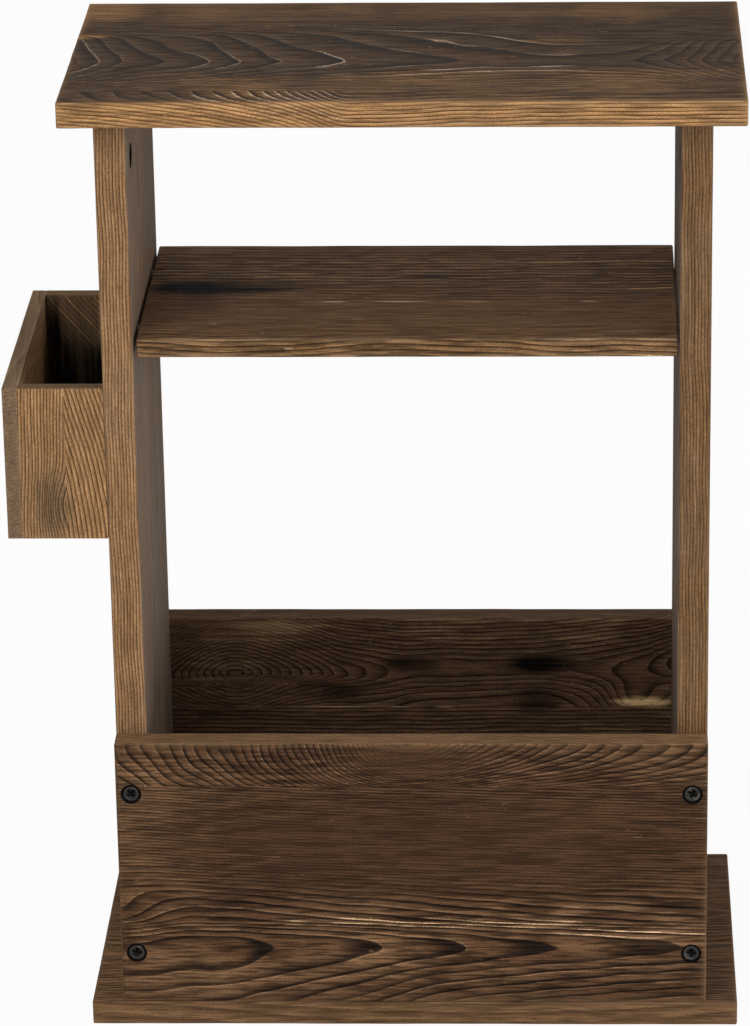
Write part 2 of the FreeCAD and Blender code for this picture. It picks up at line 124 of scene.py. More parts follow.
class Lay(Enum):
    """How a board lies: its axes along the grain, across the face and through, and its best side.

    Axes are numbered 0 to 2 for X, Y and Z. The best side is 1 or -1 along the last axis.
    """

    FLAT = (0, 1, 2, 1)
    FACING = (0, 2, 1, -1)
    LEFT_POST = (2, 1, 0, 1)
    RIGHT_POST = (2, 1, 0, -1)
    STAVE = (2, 0, 1, -1)
    FLANK = (1, 2, 0, -1)
    TRAY = (1, 0, 2, 1)

    def spread(self, points: Array) -> tuple[Array, Array, Array]:
        """Sorts points into places along the grain, across the face and towards the best side.

        Args:
            points: places from the board's middle, one in each row.

        Returns:
            The three places, each as one array.
        """
        along, across, through, side = self.value
        return points[:, along], points[:, across], points[:, through] * side

    def stretch(self, share: float) -> tuple[float, float, float]:
        """Returns scales that draw a pattern out along the grain by one over the share."""
        return tuple(share if axis == self.value[0] else 1.0 for axis in range(3))


@dataclass(frozen=True)
class Swell:
    """A bell-shaped swelling that pushes the growth rings apart round one place."""

    along: float
    across: float
    reach_along: float
    reach_across: float
    rings: float

    def count(self, along: Array, across: Array) -> Array:
        """Works out the rings that the bell adds: its height times exp of minus the squared way.

        Args:
            along: places along the grain.
            across: places across the face.

        Returns:
            The added rings at each place.
        """
        run = (along - self.along) / self.reach_along
        rise = (across - self.across) / self.reach_across
        return self.rings * np.exp(-run**2 - rise**2)


class Growth(ABC):
    """Growth rings in one strip of a board, as a smooth count that rises by one at each ring."""

    @abstractmethod
    def count(self, along: Array, across: Array, under: Array) -> Array:
        """Counts rings from the pith outwards.

        Args:
            along: places along the grain.
            across: places across the face.
            under: depths below the best face.

        Returns:
            The count at each place; its whole numbers are the ends of rings.
        """


@dataclass(frozen=True)
class Curve:
    """A bent line through points, with its corners rounded off within the blur."""

    points: tuple[tuple[float, float], ...]
    blur: float = 0.0
    reads: int = 7

    def at(self, place: Array) -> Array:
        """Reads the line's level, as the mean of some reads spread over the blur.

        Args:
            place: where it is read.

        Returns:
            The level at each place.
        """
        places, levels = np.array(self.points).T
        shifts = np.linspace(-self.blur, self.blur, self.reads)
        return np.mean([np.interp(place + shift, places, levels) for shift in shifts], axis=0)


EVEN = Curve(((0.0, 1.0),))


@dataclass(frozen=True)
class PithGrowth(Growth):
    """Rings round a pith that dips and rises under a strip's face, which cuts them into nested arches.

    The course gives the rings between the pith and the face along the grain: an arch has its tip where
    it passes a whole number. The flank gives the distance that a way across counts for, after the
    opening below or above the pith has stretched it. With a power of 1 the arches are pointed, and
    with a power of 2 they are round. Rings are all of one width, unless a fine width is given that
    they tighten to away from the pith.
    """

    pith: float
    ring: float
    course: Curve
    fine: float | None = None
    tighten: float = 40.0
    power: float = 2.0
    flank: Curve = Curve(((-FAR, FAR), (0.0, 0.0), (FAR, FAR)))
    opening: tuple[Curve, Curve] = (EVEN, EVEN)
    lean: float = 0.0
    bow: float = 0.0
    ripple: float = 0.12
    swells: tuple[Swell, ...] = ()

    def rings_at(self, distance: Array) -> Array:
        """Counts rings within a distance of the pith, as their width goes from ring to fine.

        The count is d / ring + (1 / fine - 1 / ring) * (d - t * atan(d / t)) with t for tighten.

        Args:
            distance: distances from the pith.

        Returns:
            The count at each distance.
        """
        fine = self.fine or self.ring
        crowd = distance - self.tighten * np.arctan(distance / self.tighten)
        return distance / self.ring + (1 / fine - 1 / self.ring) * crowd

    def count(self, along: Array, across: Array, under: Array) -> Array:
        """Counts rings by the distance from the pith, with ripples and swellings on top.

        The distance is (depth^power + flank^power)^(1 / power). The ripples are the product of a sine
        of along / 17 + across / 9 and a sine of along / 41 - across / 23 + 1.

        Args:
            along: places along the grain.
            across: places across the face.
            under: depths below the best face.

        Returns:
            The count at each place.
        """
        steps = np.linspace(0, FAR, FAR_READS)
        depth = np.abs(np.interp(self.course.at(along), self.rings_at(steps), steps) - under)
        offset = across - self.pith - self.lean * along - self.bow * along**2
        opening = np.where(offset > 0, self.opening[1].at(along), self.opening[0].at(along))
        flank = np.maximum(self.flank.at(offset * opening) - self.flank.at(np.zeros(1)), 0)
        count = self.rings_at((depth**self.power + flank**self.power) ** (1 / self.power))
        count += self.ripple * np.sin(along / 17 + across / 9) * np.sin(along / 41 - across / 23 + 1)
        return count + sum(swell.count(along, across) for swell in self.swells)


@dataclass(frozen=True)
class BowlGrowth(Growth):
    """Rings that hang in a strip like nested bowls open to one edge.

    Away from the bowls' middle the count climbs with log(1 + (way / bend)^2), at its own rate on
    either side. From the open edge inwards it climbs with the depth near the middle, and with the
    depth cubed farther out.
    """

    rim: float
    middle: float
    climb: tuple[float, float]
    bend: tuple[float, float]
    sink: tuple[float, float]
    flare: tuple[float, float]
    through: float
    ripple: float = 0.25

    def count(self, along: Array, across: Array, under: Array) -> Array:
        """Counts rings up the sides of the bowls, along their depth and through the board.

        Ripples are the product of a sine of depth / 7 + along / 19 and a sine of along / 13 + 2.

        Args:
            along: places along the grain.
            across: places across the face.
            under: depths below the best face.

        Returns:
            The count at each place.
        """
        way = along - self.middle
        right = (way > 0).astype(int)
        climb = np.array(self.climb)[right] * np.log1p((way / np.array(self.bend)[right]) ** 2)
        depth = self.rim - across
        apart = way / np.array(self.flare)[right]
        sink = self.sink[0] * depth / (1 + apart**2) + self.sink[1] * depth**3 / np.hypot(1, apart / 2)
        waver = self.ripple * np.sin(depth / 7 + along / 19) * np.sin(along / 13 + 2)
        return climb + sink + waver + under * self.through


@dataclass(frozen=True)
class Strip:
    """One of the strips that a board is glued up from, with the edge that it reaches to.

    The glue line at that edge can be rubbed pale in dashes, each a place along it and a reach. They
    are as strong as the rubbing, and reach the breadth to either side.
    """

    growth: Growth
    upto: float = np.inf
    rubs: tuple[tuple[float, float], ...] = ()
    breadth: float = 0.5
    rubbing: float = 1.3

    def dashes(self, along: Array, across: Array) -> Array:
        """Works out how rubbed the glue line is near each place.

        Args:
            along: places along the grain.
            across: places across the face.

        Returns:
            The dashes next to the line, each the rubbing times exp of minus its way squared.
        """
        dashes = np.zeros(len(along))
        for place, reach in self.rubs:
            dashes += self.rubbing * np.exp(-(((along - place) / reach) ** 2))
        return dashes * (np.abs(across - self.upto) < self.breadth)


@dataclass(frozen=True)
class Gleam:
    """A growth ring whose end shows a bright line from one place along the grain to another.

    The bright line lies a little past the ring's end, and its reach is a share of a ring. On the caddy's back
    wall these lines are painted light: streaks of light falling into the box.
    """

    ring: int
    start: float
    end: float
    strength: float
    past: float = 0.1
    reach: float = 0.4

    def glow(self, along: Array, rings: Array) -> Array:
        """Works out how bright the ring's end is at each place.

        Args:
            along: places along the grain.
            rings: the count of rings there.

        Returns:
            The strength times bells to the fourth power along the grain and across the ring's end.
        """
        way = (2 * along - self.start - self.end) / (self.end - self.start)
        aside = (rings - self.ring - self.past) / self.reach
        return self.strength * np.exp(-(way**4) - aside**4)


@dataclass(frozen=True)
class StainLightAndShade:
    """A patch that the torch darkened, or with less than no scorch, left or rubbed pale.

    Inside the caddy, on the left upright and at the base's left end, patches are painted shade and painted
    light instead. A patch can also sharpen or soften the figure and the pale lines within it, and it lies on
    the best face unless it is on the back.
    """

    along: float
    across: float
    reach_along: float
    reach_across: float
    scorch: float
    figure: float = 0.0
    shine: float = 0.0
    back: bool = False

    def cover(self, along: Array, across: Array, through: Array) -> Array:
        """Works out how much of the patch shows at each place.

        Args:
            along: places along the grain.
            across: places across the face.
            through: places towards the best face.

        Returns:
            The cover, which is 1 in the middle and fades as exp of minus the squared way squared.
        """
        run = (along - self.along) / self.reach_along
        rise = (across - self.across) / self.reach_across
        return np.exp(-((run**2 + rise**2) ** 2)) * ((through < 0) == self.back)


@dataclass(frozen=True)
class Bore:
    """A round hole from one face of a board, as a profile of radius and depth turned about its axis.

    Its block is half the square of grid cells that it takes up in the face.
    """

    axis: int
    side: int
    centre: tuple[float, float, float]
    profile: tuple[tuple[float, float], ...]
    block: float


@dataclass
class Patch:
    """Points with the faces between them, before they become a mesh.

    Each point has an outward normal and says whether it lies inside a bore. A screw's points have no normals,
    and give their painted highlight and painted shade instead.
    """

    points: Array
    normals: Array
    inside: Array
    quads: Index
    caps: list[Index] = field(default_factory=list)


def corners(node: str) -> tuple[Array, Array]:
    """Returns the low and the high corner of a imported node's box, in millimetres."""
    low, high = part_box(node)
    return np.array(low) / MM, np.array(high) / MM


def grid_quads(rows: int, columns: int, closed: bool = False) -> Index:
    """Numbers the faces of a grid of points stored row by row.

    Args:
        rows: how many rows of points there are.
        columns: how many points a row has.
        closed: whether the last column joins the first.

    Returns:
        An array of faces by row and column, each with its four points in turn.
    """
    cell = np.arange(rows * columns).reshape(rows, columns)
    if closed:
        cell = np.concatenate([cell, cell[:, :1]], axis=1)
    return np.stack([cell[:-1, :-1], cell[1:, :-1], cell[1:, 1:], cell[:-1, 1:]], axis=-1)


def weld(patches: list[Patch], gap: float = 0.001) -> Patch:
    """Joins patches into one, with points that lie within the gap made one point.

    Args:
        patches: the patches to join.
        gap: how near two points count as one.

    Returns:
        The joined patch.
    """
    starts = np.cumsum([0] + [len(patch.points) for patch in patches[:-1]])
    points = np.concatenate([patch.points for patch in patches])
    keys = np.round(points / gap).astype(np.int64)
    _, first, inverse = np.unique(keys, axis=0, return_index=True, return_inverse=True)
    inverse = inverse.reshape(-1)
    quads = np.concatenate([patch.quads.reshape(-1, 4) + start for patch, start in zip(patches, starts)])
    caps = [inverse[cap + start] for patch, start in zip(patches, starts) for cap in patch.caps]
    normals = np.concatenate([patch.normals for patch in patches])[first]
    inside = np.concatenate([patch.inside for patch in patches])[first]
    return Patch(points[first], normals, inside, inverse[quads], caps)


def make_object(name: str, patch: Patch, values: dict[str, Array], material: Material) -> bpy.types.Object:
    """Makes an object from a patch and lets it ride on the table.

    Args:
        name: the object's name.
        patch: its points, in millimetres, and its faces.
        values: attributes of its points, by name.
        material: its finish.

    Returns:
        The object, at the origin, with its place in its mesh.
    """
    mesh = bpy.data.meshes.new(name)
    faces = patch.quads.tolist() + [cap.tolist() for cap in patch.caps]
    mesh.from_pydata((patch.points * MM).tolist(), [], faces)
    mesh.polygons.foreach_set("use_smooth", np.ones(len(faces), dtype=bool))
    for label, value in values.items():
        attribute = mesh.attributes.new(label, "FLOAT", "POINT")
        attribute.data.foreach_set("value", value.astype(np.float32))
    mesh.materials.append(material)
    mesh.update()
    piece = bpy.data.objects.new(name, mesh)
    bpy.context.scene.collection.objects.link(piece)
    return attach(piece, BODY)


class Canvas:
    """A node tree that nodes are added to and linked in by short calls."""

    def __init__(self, tree: bpy.types.NodeTree) -> None:
        """Keeps the tree to work on."""
        self.tree = tree

    def add(self, kind: str, **settings: object) -> bpy.types.Node:
        """Adds a node of a kind and sets its properties.

        Args:
            kind: the kind of node.
            **settings: properties of the node, by name.

        Returns:
            The node.
        """
        node = self.tree.nodes.new(kind)
        for name, value in settings.items():
            setattr(node, name, value)
        return node

    def feed(self, socket: Socket, source: object) -> None:
        """Links a socket to another node's socket, or sets it to a plain value.

        Args:
            socket: the socket to feed.
            source: the other socket or the value.
        """
        if isinstance(source, Socket):
            self.tree.links.new(source, socket)
        else:
            socket.default_value = source

    def math(self, operation: str, first: object, second: object = 0.0, clamp: bool = False) -> Socket:
        """Works something out from one or two values.

        Args:
            operation: what is done with them.
            first: the first value.
            second: the second value.
            clamp: whether the result stays from 0 to 1.

        Returns:
            The result's socket.
        """
        node = self.add("ShaderNodeMath", operation=operation, use_clamp=clamp)
        self.feed(node.inputs[0], first)
        self.feed(node.inputs[1], second)
        return node.outputs[0]

    def plus(self, first: object, second: object, clamp: bool = False) -> Socket:
        """Returns the sum of two values."""
        return self.math("ADD", first, second, clamp)

    def times(self, first: object, second: object, clamp: bool = False) -> Socket:
        """Returns the product of two values."""
        return self.math("MULTIPLY", first, second, clamp)

    def mix(self, share: object, first: object, second: object, blend: str = "MIX") -> Socket:
        """Mixes two colours.

        Args:
            share: how much of the second colour shows.
            first: the first colour.
            second: the second colour.
            blend: the way of mixing.

        Returns:
            The mixed colour's socket.
        """
        node = self.add("ShaderNodeMix", data_type="RGBA", blend_type=blend)
        self.feed(node.inputs[0], share)
        self.feed(node.inputs[6], first)
        self.feed(node.inputs[7], second)
        return node.outputs[2]

    def ease(self, value: object, start: object, end: object, low: float = 0.0, high: float = 1.0) -> Socket:
        """Eases from one level to another while a value goes from a start to an end.

        Args:
            value: the value that is followed.
            start: where the change starts.
            end: where the change ends.
            low: the level before the start.
            high: the level after the end.

        Returns:
            The level's socket.
        """
        node = self.add("ShaderNodeMapRange", interpolation_type="SMOOTHSTEP")
        for socket, source in zip(node.inputs, (value, start, end, low, high)):
            self.feed(socket, source)
        return node.outputs[0]

    def scale(self, value: object, slope: float, start: float) -> Socket:
        """Multiplies a value and adds to it.

        Args:
            value: the value.
            slope: what it is multiplied by.
            start: what is added then.

        Returns:
            The result's socket.
        """
        result = self.math("MULTIPLY_ADD", value, slope)
        result.node.inputs[2].default_value = start
        return result

    def noise(self, place: Socket, scale: float, detail: float) -> Socket:
        """Adds cloudy noise.

        Args:
            place: where it is read.
            scale: how many clouds there are to a metre.
            detail: how many finer layers it has.

        Returns:
            The noise's socket, mostly from 0.3 to 0.7.
        """
        node = self.add("ShaderNodeTexNoise")
        self.feed(node.inputs["Vector"], place)
        node.inputs["Scale"].default_value = scale
        node.inputs["Detail"].default_value = detail
        return node.outputs["Fac"]

    def grain(self, scales: tuple[float, float, float]) -> tuple[Socket, Socket]:
        """Adds places on the object for patterns, plain and drawn out along the grain.

        Args:
            scales: the drawn-out places' scales along X, Y and Z.

        Returns:
            The sockets of the plain places and of the drawn-out ones.
        """
        plain = self.add("ShaderNodeTexCoord").outputs["Object"]
        drawn = self.add("ShaderNodeMapping")
        self.feed(drawn.inputs["Vector"], plain)
        self.feed(drawn.inputs["Scale"], scales)
        return plain, drawn.outputs[0]


class Group(Canvas):
    """A shader node group with named inputs and outputs, which materials share."""

    def __init__(self, name: str, takes: dict[str, str], gives: dict[str, str]) -> None:
        """Makes an empty group.

        Args:
            name: the group's name.
            takes: the kinds of its inputs, by name.
            gives: the kinds of its outputs, by name.
        """
        super().__init__(bpy.data.node_groups.new(name, "ShaderNodeTree"))
        for label, kind in takes.items():
            self.tree.interface.new_socket(label, in_out="INPUT", socket_type=f"NodeSocket{kind}")
        for label, kind in gives.items():
            self.tree.interface.new_socket(label, in_out="OUTPUT", socket_type=f"NodeSocket{kind}")
        self.takes = self.add("NodeGroupInput").outputs
        self.gives = self.add("NodeGroupOutput").inputs

    def give(self, label: str, source: Socket) -> None:
        """Feeds one of the group's outputs."""
        self.feed(self.gives[label], source)

    def place(self, canvas: Canvas, **sources: object) -> bpy.types.bpy_prop_collection:
        """Places the group in another tree.

        Args:
            canvas: the tree that it goes into.
            **sources: what feeds its inputs, by name.

        Returns:
            The outputs of the placed group.
        """
        node = canvas.add("ShaderNodeGroup", node_tree=self.tree)
        for label, source in sources.items():
            canvas.feed(node.inputs[label], source)
        return node.outputs


def make_ring_group() -> Group:
    """Turns a count of rings into tones: dark late wood before a ring's end, a pale line after it.

    The pace is the rings to a millimetre, which keeps the pale line's width from growing with a ring's.

    Returns:
        The group, with masks for the late wood, the pale line and the fresh wood that starts a ring.
    """
    group = Group("growth_rings", {name: "Float" for name in ("Rings", "Waver", "Pace", "Figure", "Shine")},
                  {name: "Float" for name in RING_MASKS})
    takes = group.takes
    wavering = group.plus(takes["Rings"], takes["Waver"])
    part = group.math("FRACT", wavering)
    chance = group.add("ShaderNodeTexWhiteNoise", noise_dimensions="1D")
    group.feed(chance.inputs["W"], group.math("FLOOR", wavering))
    tone = chance.outputs["Value"]
    # Late wood darkens from its onset in the ring and ends just before the ring does.
    onset = group.scale(tone, 0.22, 0.40)
    late = group.times(group.ease(part, onset, 0.92), group.ease(part, 0.97, 1.0, 1.0, 0.0))
    late = group.times(late, group.scale(tone, 0.35, 0.65))
    group.give("Late", group.times(late, takes["Figure"], clamp=True))
    group.give("Fresh", group.times(group.ease(part, 0.0, 0.6, 1.0, 0.0), takes["Figure"]))
    # The pale line is as many millimetres wide as the shine says, but at most three tenths of the ring.
    pace = group.math("MAXIMUM", takes["Pace"], 0.004)
    past = group.math("DIVIDE", part, pace)
    width = group.math("MINIMUM", group.scale(takes["Shine"], 1.6, 0.9), group.math("DIVIDE", 0.3, pace))
    line = group.times(group.ease(past, 0.0, 0.3), group.ease(past, 0.3, width, 1.0, 0.0))
    # Only some rings have one, and more of them where the shine is strong.
    chosen = group.plus(group.ease(tone, 0.25, 0.9), group.math("SUBTRACT", takes["Shine"], 0.5))
    line = group.times(line, group.times(chosen, takes["Shine"], clamp=True))
    group.give("Pale", group.times(line, takes["Figure"], clamp=True))
    return group


def make_fibre_group() -> Group:
    """Gives the marks of a wire brush and a torch: streaks, hairs, grit, blotches and bare specks.

    Returns:
        The group, which reads a place drawn out along the grain and a plain one.
    """
    group = Group("brushed_fibres", {"Drawn Out": "Vector", "Plain": "Vector"},
                  {name: "Float" for name in (*BRUSH_MARKS, "Waver")})
    drawn, plain = group.takes["Drawn Out"], group.takes["Plain"]
    short = group.add("ShaderNodeMix", data_type="VECTOR")
    for socket, source in zip((short.inputs[0], short.inputs[4], short.inputs[5]), (0.05, drawn, plain)):
        group.feed(socket, source)
    # Each mark is noise of a scale and a detail, eased from one level to another.
    marks = {"Streak": (drawn, 280.0, 3.0, 0.30, 0.70), "Hair": (short.outputs[1], 680.0, 3.0, 0.35, 0.65),
             "Grit": (plain, 850.0, 3.0, 0.30, 0.70), "Blotch": (plain, 13.0, 5.0, 0.30, 0.70)}
    for label, (place, scale, detail, low, high) in marks.items():
        group.give(label, group.ease(group.noise(place, scale, detail), low, high))
    specks = group.times(group.noise(plain, 130.0, 2.0), group.noise(drawn, 420.0, 1.0))
    group.give("Speck", group.ease(specks, 0.43, 0.50))
    frayed = group.scale(group.noise(drawn, 300.0, 3.0), 0.10, -0.05)
    frayed = group.plus(group.noise(plain, 34.0, 0.5), frayed)
    group.give("Waver", group.scale(frayed, 0.5, -0.25))
    return group


def make_wood_group() -> Group:
    """Colours torched wood from its ring tones, its brush marks, its scorch with the painted shade and light
    that it carries, and the wear at its edges.

    Returns:
        The group, with a colour, a roughness and a height for the bump.
    """
    masks = {name: "Float" for name in (*RING_MASKS, *BRUSH_MARKS, "Scorch", "Wear", "Fuzz")}
    colours = {name: "Color" for name in WOOD_TONES}
    group = Group("torched_wood", {**masks, **colours},
                  {"Color": "Color", "Roughness": "Float", "Height": "Float"})
    takes = group.takes
    # The scorch, with the painted shade and painted light that it carries, is patchy, and takes early and
    # late wood from their bare tones to their torched ones.
    patchy = group.plus(takes["Scorch"], group.scale(takes["Blotch"], 0.36, -0.18))
    patchy = group.plus(patchy, group.scale(takes["Streak"], 0.30, -0.15))
    scorch = group.plus(patchy, 0.0, clamp=True)
    between = group.mix(scorch, takes["Early"], takes["Smoke"])
    ends = group.mix(scorch, takes["Dark"], takes["Soot"])
    colour = group.mix(takes["Late"], between, ends)
    chalky = group.times(takes["Pale"], group.scale(takes["Grit"], 0.5, 0.45))
    colour = group.mix(chalky, colour, takes["Chalk"])
    # Scorch that is much above 1 chars the wood black, and paints black shade where the scorch carries
    # painted shade.
    char_and_shade_black = group.times(group.math("SUBTRACT", patchy, 1.35, clamp=True), 1.4, clamp=True)
    colour = group.mix(char_and_shade_black, colour, (0.004, 0.003, 0.0025, 1.0))
    # Streaks, hairs, grit and fresh wood each shade the colour a little.
    fibrous = group.times(group.scale(takes["Hair"], 1.0, -0.46), takes["Fuzz"])
    shade = group.times(group.scale(takes["Streak"], 0.30, 0.85), group.scale(fibrous, 0.95, 1.0))
    shade = group.times(shade, group.scale(takes["Grit"], 0.36, 0.82))
    shade = group.times(shade, group.scale(takes["Fresh"], 0.26, 0.93))
    tone = group.add("ShaderNodeCombineColor")
    for socket in tone.inputs:
        group.feed(socket, shade)
    colour = group.mix(1.0, colour, tone.outputs[0], "MULTIPLY")
    # Rubbed edges and specks are bare.
    rubbed = group.times(takes["Wear"], group.scale(takes["Blotch"], 1.2, -0.1), clamp=True)
    bare = group.math("MAXIMUM", rubbed, group.times(takes["Speck"], 0.35))
    group.give("Color", group.mix(bare, colour, takes["Worn"]))
    gloss = group.plus(group.scale(takes["Late"], -0.14, 0.74), group.scale(takes["Grit"], 0.14, 0.0))
    group.give("Roughness", gloss)
    relief = group.plus(takes["Late"], group.scale(takes["Hair"], 0.45, 0.0))
    group.give("Height", group.plus(relief, group.scale(takes["Grit"], 0.25, 0.0)))
    return group


def make_metal_group() -> Group:
    """Gives handled metal its cloudy tone, and the painted highlights and painted shade that an input lays on
    it.

    Returns:
        The group, with a colour, a roughness and a height for the bump.
    """
    group = Group("handled_metal", {"Plain": "Vector", "Rub": "Float", "Dull": "Color", "Rubbed": "Color"},
                  {"Color": "Color", "Roughness": "Float", "Height": "Float"})
    takes = group.takes
    cloud = group.noise(takes["Plain"], 300.0, 4.0)
    grit = group.noise(takes["Plain"], 2400.0, 2.0)
    # The cloudy tone is the metal's own; the input's positive part adds painted highlights in the rubbed
    # tone.
    rub = group.plus(group.ease(cloud, 0.50, 0.72, 0.0, 0.6), takes["Rub"], clamp=True)
    colour = group.mix(rub, takes["Dull"], takes["Rubbed"])
    # Where that input is less than 0 the colour goes black, as painted shade in a recess.
    recess = group.times(takes["Rub"], -1.0, clamp=True)
    group.give("Color", group.mix(recess, colour, (0.003, 0.003, 0.003, 1.0)))
    group.give("Roughness", group.ease(cloud, 0.3, 0.7, 0.52, 0.34))
    group.give("Height", grit)
    return group


class Groups:
    """The shader groups that the finishes share, each made once."""

    def __init__(self) -> None:
        """Makes every group."""
        self.rings = make_ring_group()
        self.fibres = make_fibre_group()
        self.wood = make_wood_group()
        self.metal = make_metal_group()


def new_material(name: str) -> tuple[Canvas, bpy.types.Node, Material]:
    """Starts a material with one shader.

    Args:
        name: the material's name.

    Returns:
        A canvas on its nodes, its shader and the material.
    """
    material = bpy.data.materials.new(name)
    material.use_nodes = True
    canvas = Canvas(material.node_tree)
    return canvas, material.node_tree.nodes["Principled BSDF"], material


def dress_shader(canvas: Canvas, shader: bpy.types.Node, look: bpy.types.bpy_prop_collection,
                 bump: float, relief: float) -> None:
    """Feeds a shader from a placed group's colour, roughness and height.

    Args:
        canvas: the material's nodes.
        shader: its shader.
        look: the placed group's outputs.
        bump: the strength of its relief.
        relief: the depth of its relief, in metres.
    """
    node = canvas.add("ShaderNodeBump")
    node.inputs["Strength"].default_value = bump
    node.inputs["Distance"].default_value = relief
    canvas.feed(node.inputs["Height"], look["Height"])
    canvas.feed(shader.inputs["Base Color"], look["Color"])
    canvas.feed(shader.inputs["Roughness"], look["Roughness"])
    canvas.feed(shader.inputs["Normal"], node.outputs["Normal"])


@dataclass(frozen=True)
class WoodFinish:
    """A torched softwood finish: bare tones, torched tones and how scorched each kind of side is.

    The figures say how clearly rings show on each kind of side. The fuzz is the strength of fine hairs,
    of which one share goes with the figure and the other is everywhere. The relief is in metres.
    """

    name: str
    early: Tint
    dark: Tint
    smoke: Tint
    soot: Tint
    chalk: Tint
    worn: Tint
    face: float
    edge: float
    end: float
    back: float
    face_figure: float = 1.0
    edge_figure: float = 1.0
    end_figure: float = 0.25
    shine: float = 0.2
    rub: float = 0.75
    fuzz: float = 1.0
    fuzz_shares: tuple[float, float] = (0.7, 0.25)
    drawn: float = 0.022
    bump: float = 0.8
    relief: float = 0.00035
    gloss: float = 0.05

    def material(self, lay: Lay, groups: Groups) -> Material:
        """Makes the finish for boards that lie one way, or finds the one made before.

        Args:
            lay: how the boards lie.
            groups: the shared shader groups.

        Returns:
            The material.
        """
        name = f"{self.name}_{lay.name.lower()}"
        if name in bpy.data.materials:
            return bpy.data.materials[name]
        canvas, shader, material = new_material(name)
        plain, drawn = canvas.grain(lay.stretch(self.drawn))
        marks = {label: canvas.add("ShaderNodeAttribute", attribute_name=label).outputs["Fac"]
                 for label in ("rings", "pace", "figure", "shine", "scorch", "wear")}
        fibres = groups.fibres.place(canvas, **{"Drawn Out": drawn, "Plain": plain})
        rings = groups.rings.place(canvas, Rings=marks["rings"], Waver=fibres["Waver"], Pace=marks["pace"],
                                   Figure=marks["figure"], Shine=marks["shine"])
        with_figure, everywhere = (self.fuzz * share for share in self.fuzz_shares)
        wood = groups.wood.place(
            canvas, Scorch=marks["scorch"], Wear=marks["wear"],
            Fuzz=canvas.scale(marks["figure"], with_figure, everywhere),
            **{label: rings[label] for label in RING_MASKS},
            **{label: fibres[label] for label in BRUSH_MARKS},
            **{label: getattr(self, label.lower()).linear() for label in WOOD_TONES})
        dress_shader(canvas, shader, wood, self.bump, self.relief)
        shader.inputs["Specular IOR Level"].default_value = self.gloss
        return material


@dataclass(frozen=True)
class MetalFinish:
    """A metal finish: a dull tone, a rubbed tone that also paints highlights, how metallic it is and how much
    it shines.

    The relief is in metres.
    """

    name: str
    dull: Tint
    rubbed: Tint
    metallic: float
    shine: float = 0.5
    bump: float = 0.3
    relief: float = 0.0001

    def material(self, groups: Groups) -> Material:
        """Makes the finish.

        Args:
            groups: the shared shader groups.

        Returns:
            The material.
        """
        canvas, shader, material = new_material(self.name)
        plain = canvas.add("ShaderNodeTexCoord").outputs["Object"]
        # Screws carry their painted highlights and painted shade in this attribute.
        rub = canvas.add("ShaderNodeAttribute", attribute_name="rub").outputs["Fac"]
        metal = groups.metal.place(canvas, Plain=plain, Rub=rub, Dull=self.dull.linear(),
                                   Rubbed=self.rubbed.linear())
        dress_shader(canvas, shader, metal, self.bump, self.relief)
        shader.inputs["Metallic"].default_value = self.metallic
        shader.inputs["Specular IOR Level"].default_value = self.shine
        return material


@dataclass(frozen=True)
class PegFinish:
    """The finish of plain wooden dowels: pale wood with brush-fine grain along them."""

    name: str
    light: Tint
    grain: Tint
    drawn: float = 0.05
    roughness: tuple[float, float] = (0.55, 0.75)

    def material(self, groups: Groups) -> Material:
        """Makes the finish for dowels that lie along X.

        Args:
            groups: the shared shader groups.

        Returns:
            The material.
        """
        canvas, shader, material = new_material(self.name)
        plain, drawn = canvas.grain(Lay.FLAT.stretch(self.drawn))
        fibres = groups.fibres.place(canvas, **{"Drawn Out": drawn, "Plain": plain})
        canvas.feed(shader.inputs["Base Color"],
                    canvas.mix(fibres["Hair"], self.light.linear(), self.grain.linear()))
        canvas.feed(shader.inputs["Roughness"], canvas.ease(fibres["Streak"], 0.0, 1.0, *self.roughness))
        return material


SMOKED = WoodFinish("smoked_board", early=Tint(162, 122, 81), dark=Tint(70, 39, 12), smoke=Tint(72, 57, 45),
                    soot=Tint(38, 31, 27), chalk=Tint(170, 149, 127), worn=Tint(176, 138, 98),
                    face=1.13, edge=0.05, end=0.7, back=1.0, fuzz=0.85)
DUSKY = WoodFinish("dusky_board", early=Tint(114, 86, 59), dark=Tint(66, 46, 29), smoke=Tint(96, 73, 54),
                   soot=Tint(52, 39, 28), chalk=Tint(146, 122, 98), worn=Tint(128, 99, 72),
                   face=1.0, edge=0.3, end=0.8, back=0.95, edge_figure=0.6)
HAZEL = WoodFinish("hazel_board", early=Tint(112, 84, 56), dark=Tint(56, 38, 22), smoke=Tint(114, 86, 62),
                   soot=Tint(50, 36, 25), chalk=Tint(192, 156, 108), worn=Tint(214, 184, 148),
                   face=1.0, edge=0.1, end=0.8, back=0.95, edge_figure=1.2, rub=0.3)
UMBER = WoodFinish("umber_board", early=Tint(128, 98, 70), dark=Tint(70, 50, 35), smoke=Tint(73, 51, 35),
                   soot=Tint(30, 21, 15), chalk=Tint(188, 156, 122), worn=Tint(132, 104, 76),
                   face=1.0, edge=0.05, end=0.7, back=0.95, edge_figure=0.5)
SHADED = replace(UMBER, name="shaded_board", early=Tint(236, 200, 146), smoke=Tint(92, 68, 51),
                 soot=Tint(36, 25, 18), worn=Tint(214, 184, 142), face=1.15, edge=1.3, end=1.2, back=1.15,
                 rub=0.1, fuzz=0.7)
GOLDEN = WoodFinish("golden_post", early=Tint(148, 113, 79), dark=Tint(72, 46, 25), smoke=Tint(115, 98, 84),
                    soot=Tint(92, 76, 64), chalk=Tint(150, 132, 114), worn=Tint(168, 132, 94),
                    face=1.0, edge=0.05, end=0.7, back=0.95, face_figure=0.5, fuzz=0.45)
